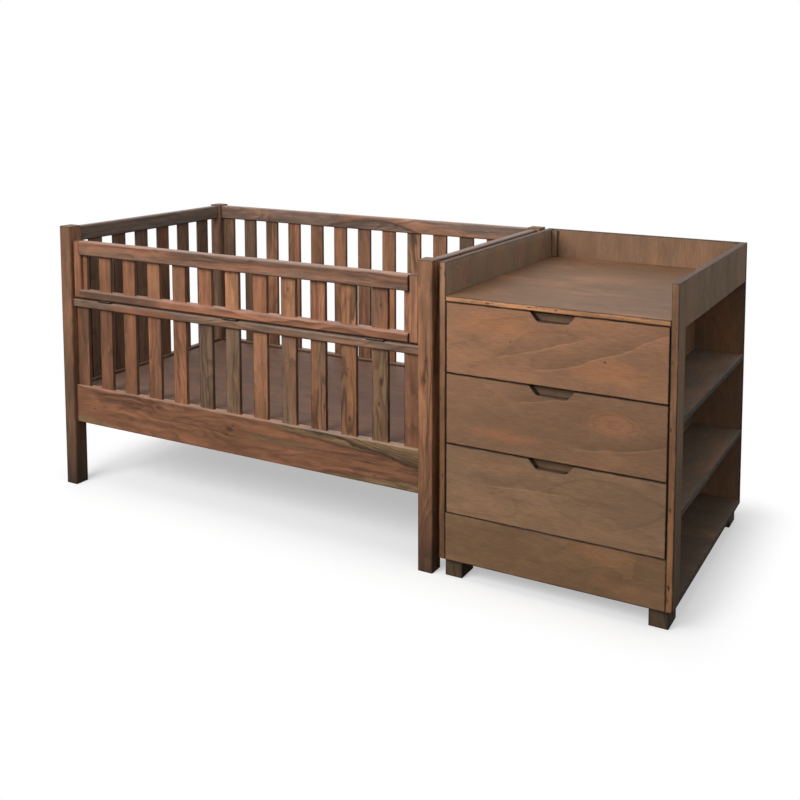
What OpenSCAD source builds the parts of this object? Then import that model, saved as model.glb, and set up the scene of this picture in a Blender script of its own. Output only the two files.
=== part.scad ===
// A child's crib with a fold-down gate in its front, joined to a changing dresser of the same height.
// X runs along the length from the crib to the dresser, the front faces -Y and Z is up.
// Places are worked out from the crib's front left floor corner, and place() centres the whole.

/* [Crib frame] */
// Length of the crib over its posts
crib_l = 1500; // [1380:10:1640]
// Depth of the crib over its posts
crib_d = 800; // [760:10:860]
// Height of the posts and of the dresser's walls
post_h = 920; // [900:5:1000]
// Side of a square post
post_w = 50; // [46:1:56]
// Rounding along the posts and rails
edge_r = 5; // [2:0.5:6]
// Thickness of the frame rails
rail_t = 28; // [24:1:32]
// Step from a post's outer face back to the rails' outer faces
rail_inset = 12; // [10:1:14]
// Height of the lower rails' undersides above the floor
lower_rail_z = 225; // [150:5:260]
// Height of a lower rail
lower_rail_h = 133; // [110:1:140]
// Height of a top rail
top_rail_h = 52; // [46:1:60]
// Step from the post tops down to the top rails
top_rail_drop = 4; // [2:1:10]

/* [Slats] */
// Slats in the front and in the back
slat_count = 13; // [11:1:15]
// Slats in each end
end_slat_count = 6; // [5:1:7]
// Width of a slat
slat_w = 58; // [46:1:62]
// Thickness of a slat
slat_t = 10; // [8:0.5:12]
// Depth of a slat's end inside its rail
tenon = 6; // [4:0.5:7]
// Play around a slat's end in its pocket
pocket_play = 0.15; // [0.1:0.05:0.3]

/* [Middle rail and gate] */
// Height of the middle rail's top above the floor
mid_rail_top = 665.5; // [640:0.5:680]
// Height of the middle rail
mid_rail_h = 27; // [24:0.5:30]
// Step of the middle rail's face ahead of the lower rail's
mid_rail_step = 4; // [2:0.5:5]
// Step from the post tops down to the gate's top
gate_drop = 49; // [45:1:60]
// Step of the gate rails' faces ahead of the lower rail's
gate_step = 8; // [7:0.5:9]
// Thickness of the gate's rails
gate_rail_t = 32; // [30:1:34]
// Height of the gate's top rail
gate_top_h = 48; // [42:1:50]
// Height of the gate's bottom rail
gate_bottom_h = 27.5; // [24:0.5:30]
// Width of a gate stile
gate_stile_w = 32; // [28:1:36]
// Step of the stiles' faces behind the gate rails' faces
stile_step = 6; // [4:0.5:9]
// Gap between the gate and a post
gate_gap = 3; // [2:0.5:5]
// Thickness of the strip along the middle rail's back, which closes the gap under the gate
gap_strip_t = 5.8; // [5:0.1:6]

/* [Hinges and latches] */
// Width of a hinge along its pin
hinge_w = 60; // [50:5:80]
// Distance from the crib's ends to the outer hinges' middles
hinge_end = 200; // [150:10:300]
// Radius of a hinge knuckle
knuckle_r = 2.2; // [2:0.1:2.3]
// Radius of a hinge pin
pin_r = 1.2; // [1:0.1:1.3]
// Radial clearance of a hinge pin
pin_play = 0.05; // [0.02:0.01:0.08]
// Length of a hinge leaf behind the pin
leaf_l = 24; // [18:1:26]
// Thickness of a hinge leaf
leaf_t = 1.2; // [1:0.1:1.3]
// Height of the gate's underside above the pins' middles
pin_below_gate = 3.8; // [3.7:0.05:4]
// Height of the pins' middles above the middle rail
pin_above_rail = 3.7; // [3.65:0.05:3.9]
// Distance of the pins behind the gate's front face
pin_step = 1.2; // [1:0.1:1.4]
// Radius of a latch bolt
bolt_r = 3; // [2.5:0.1:3.2]
// Radial clearance of a latch bolt in its guides
bolt_play = 0.1; // [0.06:0.01:0.1]
// Travel of a latch bolt
bolt_travel = 18; // [14:1:20]

/* [Mattress board] */
// Thickness of the board
board_t = 16; // [12:1:20]
// Step from the lower rails' tops down to the board's top
board_drop = 6; // [2:1:30]
// Gap between the board and the posts
board_gap = 2; // [1:0.5:4]
// Width of a cleat under the board
cleat_w = 22; // [18:1:30]
// Height of a cleat
cleat_h = 30; // [24:1:36]

/* [Dresser] */
// Width of the dresser
dresser_w = 694; // [640:2:760]
// Depth of the dresser
dresser_d = 780; // [740:10:800]
// Gap between the crib's posts and the dresser
link_gap = 22; // [10:1:40]
// Thickness of the side walls
side_t = 20; // [16:1:24]
// Height of the carcass above the floor
base_z = 54; // [40:1:80]
// Thickness of the front boards
front_t = 18; // [15:1:22]
// Thickness of the back wall
back_t = 15; // [12:1:18]
// Thickness of the tray board and of the bottom board
board_in_t = 16; // [12:1:20]
// Height of the walls above the tray
tray_depth = 96; // [80:1:110]
// Height of the kick board
kick_h = 140; // [110:1:170]
// Depth of the bookcase, from the right face to the partition
bookcase_w = 158; // [140:1:200]
// Thickness of the partition and of the wall in front of the bookcase
partition_t = 16; // [12:1:18]
// Width of the upright that is left in the right wall's front
strip_w = 65; // [50:1:90]
// Height of the band that is left in the right wall's top
band_h = 126; // [110:1:150]
// Thickness of a shelf
shelf_t = 18; // [15:1:22]
// Height of the upper shelf's surface above the floor
upper_shelf_z = 556; // [500:1:600]
// Height of the lower shelf's surface above the floor
lower_shelf_z = 306; // [260:1:340]
// Width of a foot
foot_w = 55; // [45:1:65]
// Depth of a foot
foot_d = 70; // [50:1:80]
// Distance from the carcass's corner to a foot
foot_inset = 14; // [5:1:30]
// Width of a corner batten above the tray
batten_w = 22; // [15:1:30]

/* [Drawers] */
// Gap around a drawer front
front_gap = 3; // [2:0.5:4]
// Gap between a drawer box and the walls beside it
box_gap = 3; // [2:0.5:4]
// Height of a drawer box's sides
box_h = 150; // [120:1:160]
// Height of the box above the front's lower edge
box_lift = 12; // [8:1:20]
// Depth of a drawer box, with its inner front
box_d = 562; // [500:2:620]
// Thickness of a box's sides
box_side_t = 16; // [14:1:18]
// Thickness of a box's inner front and back
box_end_t = 12; // [10:1:15]
// Thickness of a drawer's bottom
bottom_t = 6; // [4:0.5:8]
// Depth of the groove around a drawer's bottom
bottom_groove = 5; // [4:0.5:6]
// Height of a runner
runner_h = 18; // [14:1:24]
// How far a runner reaches into its groove
runner_reach = 7.5; // [6:0.5:8]
// Play of a runner in its groove
runner_play = 0.4; // [0.3:0.1:1]
// Width of a finger cut-out at its mouth
grip_top_w = 130; // [110:2:160]
// Width of a finger cut-out at its bottom
grip_bottom_w = 90; // [70:2:104]
// Depth of a finger cut-out
grip_h = 24; // [20:1:30]

/* [Fasteners] */
// Radius of a frame dowel
dowel_r = 4; // [3:0.5:4.5]
// Length of a dowel inside its rail
dowel_in_rail = 22; // [18:1:30]
// Radius of a bolt between the crib and the dresser
link_r = 4; // [3:0.5:5]
// Radius of that bolt's head
link_head_r = 6.5; // [6:0.5:8]
// Thickness of that bolt's head
link_head_t = 5; // [4:0.5:6]
// Distance from the crib's front to the front bolts
link_front_y = 70; // [68:1:80]
// Distance from the crib's back to the rear bolts
link_rear_in = 110; // [100:1:130]
// Radius of a wood screw
screw_r = 2; // [1.5:0.1:2.2]

/* [Hidden] */
$fn = 48;
play = 0.1;
end_play = 0.5;
total_l = crib_l + link_gap + dresser_w;
total_d = max(crib_d, dresser_d);

lower_top = lower_rail_z + lower_rail_h;
top_rail_z = post_h - top_rail_drop - top_rail_h;
mid_rail_z = mid_rail_top - mid_rail_h;
rail_back = rail_inset + rail_t;
dowel_line = rail_inset + rail_t / 2;
dowel_in_post = post_w - dowel_line - dowel_r - 2;
slat_line = rail_inset + (rail_t - slat_t) / 2;
slat_pitch = (crib_l - 2 * post_w - slat_w) / (slat_count - 1);
end_slat_gap = (crib_d - 2 * post_w - end_slat_count * slat_w) / (end_slat_count + 1);
lower_dowels = [lower_rail_z + lower_rail_h / 4, lower_rail_z + lower_rail_h * 3 / 4];
top_dowels = [top_rail_z + top_rail_h * 0.3, top_rail_z + top_rail_h * 0.76];
mid_dowels = [mid_rail_top - dowel_r - 6];

gate_z = mid_rail_top + pin_above_rail + pin_below_gate;
gate_top = post_h - gate_drop;
gate_h = gate_top - gate_z;
gate_front = rail_inset - gate_step;
gate_back = gate_front + gate_rail_t;
gate_x0 = post_w + gate_gap;
gate_top_z = gate_top - gate_top_h;
gate_dowel_line = (gate_front + stile_step + gate_back) / 2;
gate_dowels = [gate_z + (gate_bottom_h - tenon) / 2, gate_top_z + tenon + dowel_r + 3,
               gate_top - dowel_r - 6];
pin_y = gate_front + pin_step;
pin_z = mid_rail_top + pin_above_rail;
leaf_start = 0.5;
web_t = knuckle_r - leaf_start;
web_start = 1;
knuckle_count = 5;
knuckle_gap = 0.3;
hinge_xs = [hinge_end, crib_l / 2, crib_l - hinge_end];
leaf_screw_in = 9;
leaf_screw_xs = [for (x = hinge_xs, s = [-1, 1]) x + s * hinge_w / 3];
leaf_screw_ys = [pin_y + leaf_l * 0.42, pin_y + leaf_l * 0.8];
screw_head = 1;
gate_slat_first = slat_x(0) + slat_w;
gate_stile_in = gate_x0 + gate_stile_w;
strip_low = [post_w, rail_back - gap_strip_t, mid_rail_top - 6];
strip_high = [crib_l - post_w, rail_back, gate_z - 1];

latch_z = gate_top_z + gate_top_h / 2;
latch_x = gate_x0 + 5;
latch_plate_t = 1.5;
latch_plate_l = 60;
latch_plate_h = 22;
latch_line = gate_back + latch_plate_t + 1 + bolt_r;
latch_screw_r = 1.5;
latch_screw_in = 5;
latch_screw_xs = [gate_stile_in - 6, gate_stile_in + 12];
latch_screw_step = 7.5;
guide_l = 10;
guide_wall = 3;
guide_xs = [latch_x + 2, latch_x + latch_plate_l - guide_l - 2];
bolt_tip = gate_x0 + 1;
bolt_end = latch_x + latch_plate_l - 2 + bolt_travel;
knob_r = 3.5;
knob_reach = 16;
knob_x = guide_xs[0] + guide_l + knob_r + 1.5 + bolt_travel;
socket_play = 0.4;

board_z = lower_top - board_drop - board_t;
bearer_w = 40;
bearer_xs = [crib_l / 4, crib_l / 2, crib_l * 3 / 4];
cleat_xs = [for (k = [1, 3, 5, 7]) crib_l * k / 8];

dresser_x = crib_l + link_gap;
dresser_x1 = dresser_x + dresser_w;
wall_x = dresser_x + side_t;
wall_x1 = dresser_x1 - side_t;
wall_d = dresser_d - back_t;
partition_x = dresser_x1 - bookcase_w - partition_t;
book_x = partition_x + partition_t;
drawer_count = 3;
front_wall_y = front_t + 2;
tray_z = post_h - tray_depth;
tray_under = tray_z - board_in_t;
kick_top = base_z + kick_h;
floor_z = base_z + board_in_t;
drawer_pitch = (tray_under - kick_top) / drawer_count;
front_h = drawer_pitch - front_gap;
front_w = wall_x1 - wall_x - 2 * front_gap;
box_x = wall_x + box_gap;
box_w = partition_x - wall_x - 2 * box_gap;
side_y = front_t + box_end_t;
bottom_lift = 8;
grip_reveal = 4;
runner_y = link_front_y + 20;
runner_end = front_t + box_d - 20;
runner_lift = box_lift + (box_h - runner_h) / 2;
link_zs = [top_rail_z + top_rail_h / 2 + 1, lower_rail_z + lower_rail_h / 2];
link_ys = [link_front_y, crib_d - link_rear_in];
link_in_rail = 24;
head_depth = link_head_t + 1;
batten_t = batten_w / 2;
bolt_line_x = crib_l - rail_inset;

solid_wood = [0.56, 0.37, 0.28];
dark_wood = [0.44, 0.30, 0.23];
panel_wood = [0.55, 0.42, 0.33];
edge_wood = [0.66, 0.45, 0.31];
box_wood = [0.72, 0.60, 0.46];
steel = [0.30, 0.29, 0.28];

// Places a shape drawn from the front left floor corner in the finished part
module place() {
    translate([-total_l / 2, -total_d / 2, 0]) children();
}

// Turns a shape of the crib's front into its back
module to_back() {
    translate([0, crib_d, 0]) mirror([0, 1, 0]) children();
}

// Turns a shape of the crib's left end into its right end
module to_right() {
    translate([crib_l, 0, 0]) mirror([1, 0, 0]) children();
}

// A block between two opposite corners
module block(low, high) {
    translate(low) cube(high - low);
}

// A round bar along X
module rod_x(x0, x1, y, z, r) {
    translate([x0, y, z]) rotate([0, 90, 0]) cylinder(h = x1 - x0, r = r);
}

// A round bar along Y
module rod_y(y0, y1, x, z, r) {
    translate([x, y1, z]) rotate([90, 0, 0]) cylinder(h = y1 - y0, r = r);
}

// A round bar along Z
module rod_z(z0, z1, x, y, r) {
    translate([x, y, z0]) cylinder(h = z1 - z0, r = r);
}

// The cross-section of an eased post or rail
module eased_section(w, h) {
    translate([edge_r, 0]) square([w - 2 * edge_r, h]);
    translate([0, edge_r]) square([w, h - 2 * edge_r]);
    for (x = [edge_r, w - edge_r], y = [edge_r, h - edge_r])
        translate([x, y]) circle(edge_r);
}

// An eased rail along X
module rail_x(x0, x1, y0, y1, z0, z1) {
    translate([x0, y0, z0]) rotate([90, 0, 90])
        linear_extrude(x1 - x0) eased_section(y1 - y0, z1 - z0);
}

// An eased rail along Y
module rail_y(y0, y1, x0, x1, z0, z1) {
    translate([x0, y1, z0]) rotate([90, 0, 0])
        linear_extrude(y1 - y0) eased_section(x1 - x0, z1 - z0);
}

function slat_x(i) = post_w + i * slat_pitch;
function end_slat_y(i) = post_w + end_slat_gap + i * (slat_w + end_slat_gap);

// The socket that a latch bolt slides into
module latch_socket() {
    rod_x(bolt_tip - bolt_travel - 4, post_w + 1, latch_line, latch_z, bolt_r + socket_play);
}

// Posts
module front_post() {
    color(solid_wood) difference() {
        linear_extrude(post_h) eased_section(post_w, post_w);
        for (z = concat(lower_dowels, mid_dowels))
            rod_x(post_w - dowel_in_post - end_play, post_w + 1, dowel_line, z, dowel_r + play);
        for (z = concat(lower_dowels, top_dowels))
            rod_y(post_w - dowel_in_post - end_play, post_w + 1, dowel_line, z, dowel_r + play);
        latch_socket();
    }
}

module back_post() {
    color(solid_wood) difference() {
        linear_extrude(post_h) eased_section(post_w, post_w);
        for (z = concat(lower_dowels, top_dowels)) {
            rod_x(post_w - dowel_in_post - end_play, post_w + 1, dowel_line, z, dowel_r + play);
            rod_y(post_w - dowel_in_post - end_play, post_w + 1, dowel_line, z, dowel_r + play);
        }
    }
}

module post_front_left() {
    place() front_post();
}

module post_front_right() {
    place() to_right() front_post();
}

module post_back_left() {
    place() to_back() back_post();
}

module post_back_right() {
    place() to_right() to_back() back_post();
}

// Pockets for the slats of a long side, with their mouths at height z and their depth along dir
module slat_pockets(z, dir) {
    for (i = [0 : slat_count - 1])
        block([slat_x(i) - pocket_play, slat_line - pocket_play, dir > 0 ? z - 1 : z - tenon - end_play],
              [slat_x(i) + slat_w + pocket_play, slat_line + slat_t + pocket_play,
               dir > 0 ? z + tenon + end_play : z + 1]);
}

// Pockets for the slats of an end
module end_pockets(z, dir) {
    for (i = [0 : end_slat_count - 1])
        block([slat_line - pocket_play, end_slat_y(i) - pocket_play, dir > 0 ? z - 1 : z - tenon - end_play],
              [slat_line + slat_t + pocket_play, end_slat_y(i) + slat_w + pocket_play,
               dir > 0 ? z + tenon + end_play : z + 1]);
}

// Dowel holes in both ends of a rail along X
module long_dowel_holes(heights) {
    for (z = heights) {
        rod_x(post_w - 1, post_w + dowel_in_rail + end_play, dowel_line, z, dowel_r + play);
        rod_x(crib_l - post_w - dowel_in_rail - end_play, crib_l - post_w + 1, dowel_line, z, dowel_r + play);
    }
}

// Dowel holes in both ends of a rail along Y
module end_dowel_holes(heights) {
    for (z = heights) {
        rod_y(post_w - 1, post_w + dowel_in_rail + end_play, dowel_line, z, dowel_r + play);
        rod_y(crib_d - post_w - dowel_in_rail - end_play, crib_d - post_w + 1, dowel_line, z, dowel_r + play);
    }
}

// Screw holes for the cleat on a long lower rail
module cleat_holes() {
    for (x = cleat_xs)
        rod_y(rail_back - leaf_screw_in - end_play, rail_back + 1, x, board_z - cleat_h / 2, screw_r + play);
}

module long_lower_rail() {
    color(solid_wood) difference() {
        rail_x(post_w, crib_l - post_w, rail_inset, rail_back, lower_rail_z, lower_top);
        slat_pockets(lower_top, -1);
        long_dowel_holes(lower_dowels);
        cleat_holes();
    }
}

module front_lower_rail() {
    place() long_lower_rail();
}

module back_lower_rail() {
    place() to_back() long_lower_rail();
}

module back_top_rail() {
    color(dark_wood) place() to_back() difference() {
        rail_x(post_w, crib_l - post_w, rail_inset, rail_back, top_rail_z, top_rail_z + top_rail_h);
        slat_pockets(top_rail_z, 1);
        long_dowel_holes(top_dowels);
    }
}

module front_middle_rail() {
    color(solid_wood) place() difference() {
        rail_x(post_w, crib_l - post_w, rail_inset - mid_rail_step, rail_back, mid_rail_z, mid_rail_top);
        slat_pockets(mid_rail_z, 1);
        long_dowel_holes(mid_dowels);
        for (x = leaf_screw_xs, y = leaf_screw_ys)
            rod_z(mid_rail_top - leaf_screw_in - end_play, mid_rail_top + 1, x, y, screw_r + play);
        block(strip_low - [1, 0, 0], strip_high + [1, 1, 0]);
    }
}

// The strip that is let into the middle rail's back edge
module hinge_gap_strip() {
    color(solid_wood) place() block(strip_low, strip_high);
}

// Slats of a long side between two rail faces
module long_slats(z0, z1) {
    for (i = [0 : slat_count - 1])
        block([slat_x(i), slat_line, z0 - tenon], [slat_x(i) + slat_w, slat_line + slat_t, z1 + tenon]);
}

module front_slats() {
    color(solid_wood) place() long_slats(lower_top, mid_rail_z);
}

module back_slats() {
    color(dark_wood) place() to_back() long_slats(lower_top, top_rail_z);
}

module end_top_rail() {
    color(dark_wood) difference() {
        rail_y(post_w, crib_d - post_w, rail_inset, rail_back, top_rail_z, top_rail_z + top_rail_h);
        end_pockets(top_rail_z, 1);
        end_dowel_holes(top_dowels);
    }
}

module end_lower_rail() {
    color(dark_wood) difference() {
        rail_y(post_w, crib_d - post_w, rail_inset, rail_back, lower_rail_z, lower_top);
        end_pockets(lower_top, -1);
        end_dowel_holes(lower_dowels);
    }
}

module end_slats() {
    color(dark_wood)
        for (i = [0 : end_slat_count - 1])
            block([slat_line, end_slat_y(i), lower_top - tenon],
                  [slat_line + slat_t, end_slat_y(i) + slat_w, top_rail_z + tenon]);
}

// Holes for the bolts between the crib and the dresser, at height z
module link_holes(z) {
    for (y = link_ys)
        rod_x(bolt_line_x - link_in_rail - end_play, dresser_x + side_t + 1, y, z, link_r + play);
}

module left_top_rail() {
    place() end_top_rail();
}

module left_lower_rail() {
    place() end_lower_rail();
}

module left_slats() {
    place() end_slats();
}

module right_top_rail() {
    place() difference() {
        to_right() end_top_rail();
        link_holes(link_zs[0]);
    }
}

module right_lower_rail() {
    place() difference() {
        to_right() end_lower_rail();
        link_holes(link_zs[1]);
    }
}

module right_slats() {
    place() to_right() end_slats();
}

// Dowels in both ends of a rail along X
module long_dowels(heights) {
    for (z = heights) {
        rod_x(post_w - dowel_in_post, post_w + dowel_in_rail, dowel_line, z, dowel_r);
        rod_x(crib_l - post_w - dowel_in_rail, crib_l - post_w + dowel_in_post, dowel_line, z, dowel_r);
    }
}

// Dowels in both ends of a rail along Y
module end_dowels(heights) {
    for (z = heights) {
        rod_y(post_w - dowel_in_post, post_w + dowel_in_rail, dowel_line, z, dowel_r);
        rod_y(crib_d - post_w - dowel_in_rail, crib_d - post_w + dowel_in_post, dowel_line, z, dowel_r);
    }
}

module frame_dowels() {
    color(box_wood) place() {
        long_dowels(concat(lower_dowels, mid_dowels));
        to_back() long_dowels(concat(lower_dowels, top_dowels));
        end_dowels(concat(lower_dowels, top_dowels));
        to_right() end_dowels(concat(lower_dowels, top_dowels));
    }
}

// Mattress board and what carries it
module mattress_board() {
    color(dark_wood) place()
        block([post_w + board_gap, post_w + board_gap, board_z],
              [crib_l - post_w - board_gap, crib_d - post_w - board_gap, board_z + board_t]);
}

module cleat() {
    difference() {
        block([post_w + board_gap, rail_back, board_z - cleat_h],
              [crib_l - post_w - board_gap, rail_back + cleat_w, board_z]);
        for (x = cleat_xs)
            rod_y(rail_back - 1, rail_back + cleat_w + 1, x, board_z - cleat_h / 2, screw_r + play);
    }
}

module board_cleats() {
    color(box_wood) place() {
        cleat();
        to_back() cleat();
    }
}

module board_bearers() {
    color(box_wood) place()
        for (x = bearer_xs)
            block([x - bearer_w / 2, rail_back + cleat_w + board_gap, board_z - cleat_h],
                  [x + bearer_w / 2, crib_d - rail_back - cleat_w - board_gap, board_z]);
}

// Screws that hold a cleat to its rail
module cleat_screws() {
    for (x = cleat_xs) {
        rod_y(rail_back - leaf_screw_in, rail_back + cleat_w, x, board_z - cleat_h / 2, screw_r);
        rod_y(rail_back + cleat_w, rail_back + cleat_w + screw_head, x, board_z - cleat_h / 2, 1.7 * screw_r);
    }
}

// Screws that hold the hinges' fixed leaves
module hinge_screws() {
    for (x = leaf_screw_xs, y = leaf_screw_ys) {
        rod_z(mid_rail_top - leaf_screw_in, mid_rail_top + leaf_t, x, y, screw_r);
        rod_z(mid_rail_top + leaf_t, mid_rail_top + leaf_t + screw_head, x, y, 1.7 * screw_r);
    }
}

module frame_screws() {
    color(steel) place() {
        cleat_screws();
        to_back() cleat_screws();
        hinge_screws();
    }
}

// The gate's slats between two heights, or their pockets where grow is more than 0
module gate_slat_row(z0, z1, grow) {
    y0 = slat_line - grow;
    y1 = slat_line + slat_t + grow;
    for (i = [1 : slat_count - 2])
        block([slat_x(i) - grow, y0, z0], [slat_x(i) + slat_w + grow, y1, z1]);
    block([gate_stile_in, y0, z0], [gate_slat_first + grow, y1, z1]);
    to_right() block([gate_stile_in, y0, z0], [gate_slat_first + grow, y1, z1]);
}

// Dowels between the stiles and a rail at one height, or their holes
module gate_dowel_pair(z, r, over) {
    x0 = gate_stile_in - dowel_in_post - over;
    x1 = gate_stile_in + dowel_in_rail + over;
    rod_x(x0, x1, gate_dowel_line, z, r);
    to_right() rod_x(x0, x1, gate_dowel_line, z, r);
}

// The shanks of one latch's screws, or their holes
module latch_shanks(r, depth) {
    for (x = latch_screw_xs, s = [-1, 1])
        rod_y(gate_back - depth, gate_back + latch_plate_t, x, latch_z + s * latch_screw_step, r);
}

module gate_top_rail() {
    color(solid_wood) place() difference() {
        rail_x(gate_stile_in, crib_l - gate_stile_in, gate_front, gate_back, gate_top_z, gate_top);
        gate_slat_row(gate_top_z - 1, gate_top_z + tenon + end_play, pocket_play);
        gate_dowel_pair(gate_dowels[1], dowel_r + play, end_play);
        gate_dowel_pair(gate_dowels[2], dowel_r + play, end_play);
        latch_shanks(latch_screw_r + play, latch_screw_in + end_play);
        to_right() latch_shanks(latch_screw_r + play, latch_screw_in + end_play);
    }
}

module gate_bottom_rail() {
    color(solid_wood) place() difference() {
        rail_x(gate_stile_in, crib_l - gate_stile_in, gate_front, gate_back, gate_z, gate_z + gate_bottom_h);
        gate_slat_row(gate_z + gate_bottom_h - tenon - end_play, gate_z + gate_bottom_h + 1, pocket_play);
        gate_dowel_pair(gate_dowels[0], dowel_r + play, end_play);
        for (x = leaf_screw_xs, y = leaf_screw_ys)
            rod_z(gate_z - 1, gate_z + leaf_screw_in + end_play, x, y, screw_r + play);
    }
}

// The left stile, which the right one mirrors
module gate_stile() {
    difference() {
        translate([gate_x0, gate_front + stile_step, gate_z])
            linear_extrude(gate_h) eased_section(gate_stile_w, gate_rail_t - stile_step);
        for (z = gate_dowels)
            rod_x(gate_stile_in - dowel_in_post - end_play, gate_stile_in + 1,
                  gate_dowel_line, z, dowel_r + play);
        latch_shanks(latch_screw_r + play, latch_screw_in + end_play);
    }
}

module gate_stiles() {
    color(solid_wood) place() {
        gate_stile();
        to_right() gate_stile();
    }
}

module gate_slats() {
    color(solid_wood) place()
        gate_slat_row(gate_z + gate_bottom_h - tenon, gate_top_z + tenon, 0);
}

module gate_dowels() {
    color(box_wood) place()
        for (z = gate_dowels)
            gate_dowel_pair(z, dowel_r, 0);
}

// Hinges
function knuckle_x(x, k) = x - hinge_w / 2 + k * hinge_w / knuckle_count;

// Knuckles of one leaf, with the web that joins each to its leaf; dir is 1 for the gate's leaf
module knuckles(x, first, dir) {
    web_low = dir > 0 ? pin_z + web_start : pin_z - pin_above_rail;
    web_high = dir > 0 ? pin_z + pin_below_gate : pin_z - web_start;
    for (k = [first : 2 : knuckle_count - 1]) {
        x0 = knuckle_x(x, k) + knuckle_gap / 2;
        x1 = knuckle_x(x, k + 1) - knuckle_gap / 2;
        rod_x(x0, x1, pin_y, pin_z, knuckle_r);
        block([x0, pin_y + leaf_start, web_low], [x1, pin_y + leaf_start + web_t, web_high]);
    }
}

module hinge_leaf(x, first, dir) {
    z0 = dir > 0 ? pin_z + pin_below_gate - leaf_t : pin_z - pin_above_rail;
    difference() {
        union() {
            knuckles(x, first, dir);
            block([x - hinge_w / 2, pin_y + leaf_start, z0],
                  [x + hinge_w / 2, pin_y + leaf_start + leaf_l, z0 + leaf_t]);
        }
        rod_x(x - hinge_w / 2 - 1, x + hinge_w / 2 + 1, pin_y, pin_z, pin_r + pin_play);
        for (y = leaf_screw_ys, s = [-1, 1])
            rod_z(z0 - 1, z0 + leaf_t + 1, x + s * hinge_w / 3, y, screw_r + play);
    }
}

module hinge_frame_leaves() {
    color(steel) place()
        for (x = hinge_xs)
            hinge_leaf(x, 0, -1);
}

module hinge_gate_leaves() {
    color(steel) place()
        for (x = hinge_xs)
            hinge_leaf(x, 1, 1);
}

module hinge_pins() {
    head_t = 1.2;
    color(steel) place()
        for (x = hinge_xs) {
            rod_x(x - hinge_w / 2, x + hinge_w / 2, pin_y, pin_z, pin_r);
            rod_x(x - hinge_w / 2 - head_t, x - hinge_w / 2, pin_y, pin_z, knuckle_r - 0.5);
            rod_x(x + hinge_w / 2, x + hinge_w / 2 + head_t, pin_y, pin_z, knuckle_r - 0.5);
        }
}

// Screws of one latch plate
module latch_screws() {
    latch_shanks(latch_screw_r, latch_screw_in);
    for (x = latch_screw_xs, s = [-1, 1])
        rod_y(gate_back + latch_plate_t, gate_back + latch_plate_t + screw_head,
              x, latch_z + s * latch_screw_step, 1.6 * latch_screw_r);
}

// Screws that ride with the gate: those of its hinge leaves and of its latch plates
module gate_screws() {
    color(steel) place() {
        for (x = leaf_screw_xs, y = leaf_screw_ys) {
            rod_z(gate_z - leaf_t, gate_z + leaf_screw_in, x, y, screw_r);
            rod_z(gate_z - leaf_t - screw_head, gate_z - leaf_t, x, y, 1.7 * screw_r);
        }
        latch_screws();
        to_right() latch_screws();
    }
}

// Latches
module latch_plate() {
    difference() {
        union() {
            block([latch_x, gate_back, latch_z - latch_plate_h / 2],
                  [latch_x + latch_plate_l, gate_back + latch_plate_t, latch_z + latch_plate_h / 2]);
            for (x = guide_xs)
                block([x, gate_back + latch_plate_t, latch_z - bolt_r - guide_wall],
                      [x + guide_l, latch_line + bolt_r + guide_wall, latch_z + bolt_r + guide_wall]);
        }
        rod_x(latch_x - 1, latch_x + latch_plate_l + 1, latch_line, latch_z, bolt_r + bolt_play);
        latch_shanks(latch_screw_r + play, 1);
    }
}

module latch_plates() {
    color(steel) place() {
        latch_plate();
        to_right() latch_plate();
    }
}

// The left bolt, drawn back, with its knob
module latch_bolt() {
    color(steel) {
        rod_x(bolt_tip, bolt_end, latch_line, latch_z, bolt_r);
        rod_y(latch_line, latch_line + knob_reach / 2, knob_x, latch_z, knob_r - 1.2);
        rod_y(latch_line + knob_reach / 2, latch_line + knob_reach, knob_x, latch_z, knob_r);
    }
}

module latch_bolt_left() {
    place() latch_bolt();
}

module latch_bolt_right() {
    place() to_right() latch_bolt();
}

// Dresser carcass
module dresser_left_side() {
    color(panel_wood) place() difference() {
        block([dresser_x, 0, base_z], [wall_x, wall_d, post_h]);
        for (z = link_zs)
            link_holes(z);
        for (z = link_zs, y = link_ys)
            rod_x(wall_x - head_depth, wall_x + 1, y, z, link_head_r + play);
    }
}

module dresser_right_side() {
    band_z = post_h - band_h;
    color(panel_wood) place() translate([wall_x1, 0, 0]) rotate([90, 0, 90]) linear_extrude(side_t)
        polygon([
            [0, base_z], [strip_w, base_z], [strip_w, band_z],
            [wall_d, band_z], [wall_d, post_h], [0, post_h]
        ]);
}

module dresser_back() {
    color(panel_wood) place() block([dresser_x, wall_d, base_z], [dresser_x1, dresser_d, post_h]);
}

module tray_board() {
    color(panel_wood) place() block([wall_x, 0, tray_under], [wall_x1, wall_d, tray_z]);
}

// A board that ends at the right face, cut round the upright in the right wall
module right_board(x0, y0, z0, z1) {
    translate([0, 0, z0]) linear_extrude(z1 - z0)
        polygon([
            [x0, y0], [wall_x1, y0], [wall_x1, strip_w],
            [dresser_x1, strip_w], [dresser_x1, wall_d], [x0, wall_d]
        ]);
}

module bottom_board() {
    color(panel_wood) place() right_board(wall_x, front_t, base_z, floor_z);
}

module kick_board() {
    color(panel_wood) place() block([wall_x, 0, base_z], [wall_x1, front_t, kick_top]);
}

module partition() {
    color(panel_wood) place()
        block([partition_x, front_wall_y + partition_t, floor_z], [book_x, wall_d, tray_under]);
}

module bookcase_front_wall() {
    color(panel_wood) place()
        block([partition_x, front_wall_y, floor_z], [wall_x1, front_wall_y + partition_t, tray_under]);
}

module shelf(z) {
    color(panel_wood) place() right_board(book_x, front_wall_y + partition_t, z - shelf_t, z);
}

module upper_shelf() {
    shelf(upper_shelf_z);
}

module lower_shelf() {
    shelf(lower_shelf_z);
}

module corner_battens() {
    color(panel_wood) place()
        for (x = [wall_x, wall_x1 - batten_w])
            block([x, wall_d - batten_t, tray_z], [x + batten_w, wall_d, post_h - top_rail_drop]);
}

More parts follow.
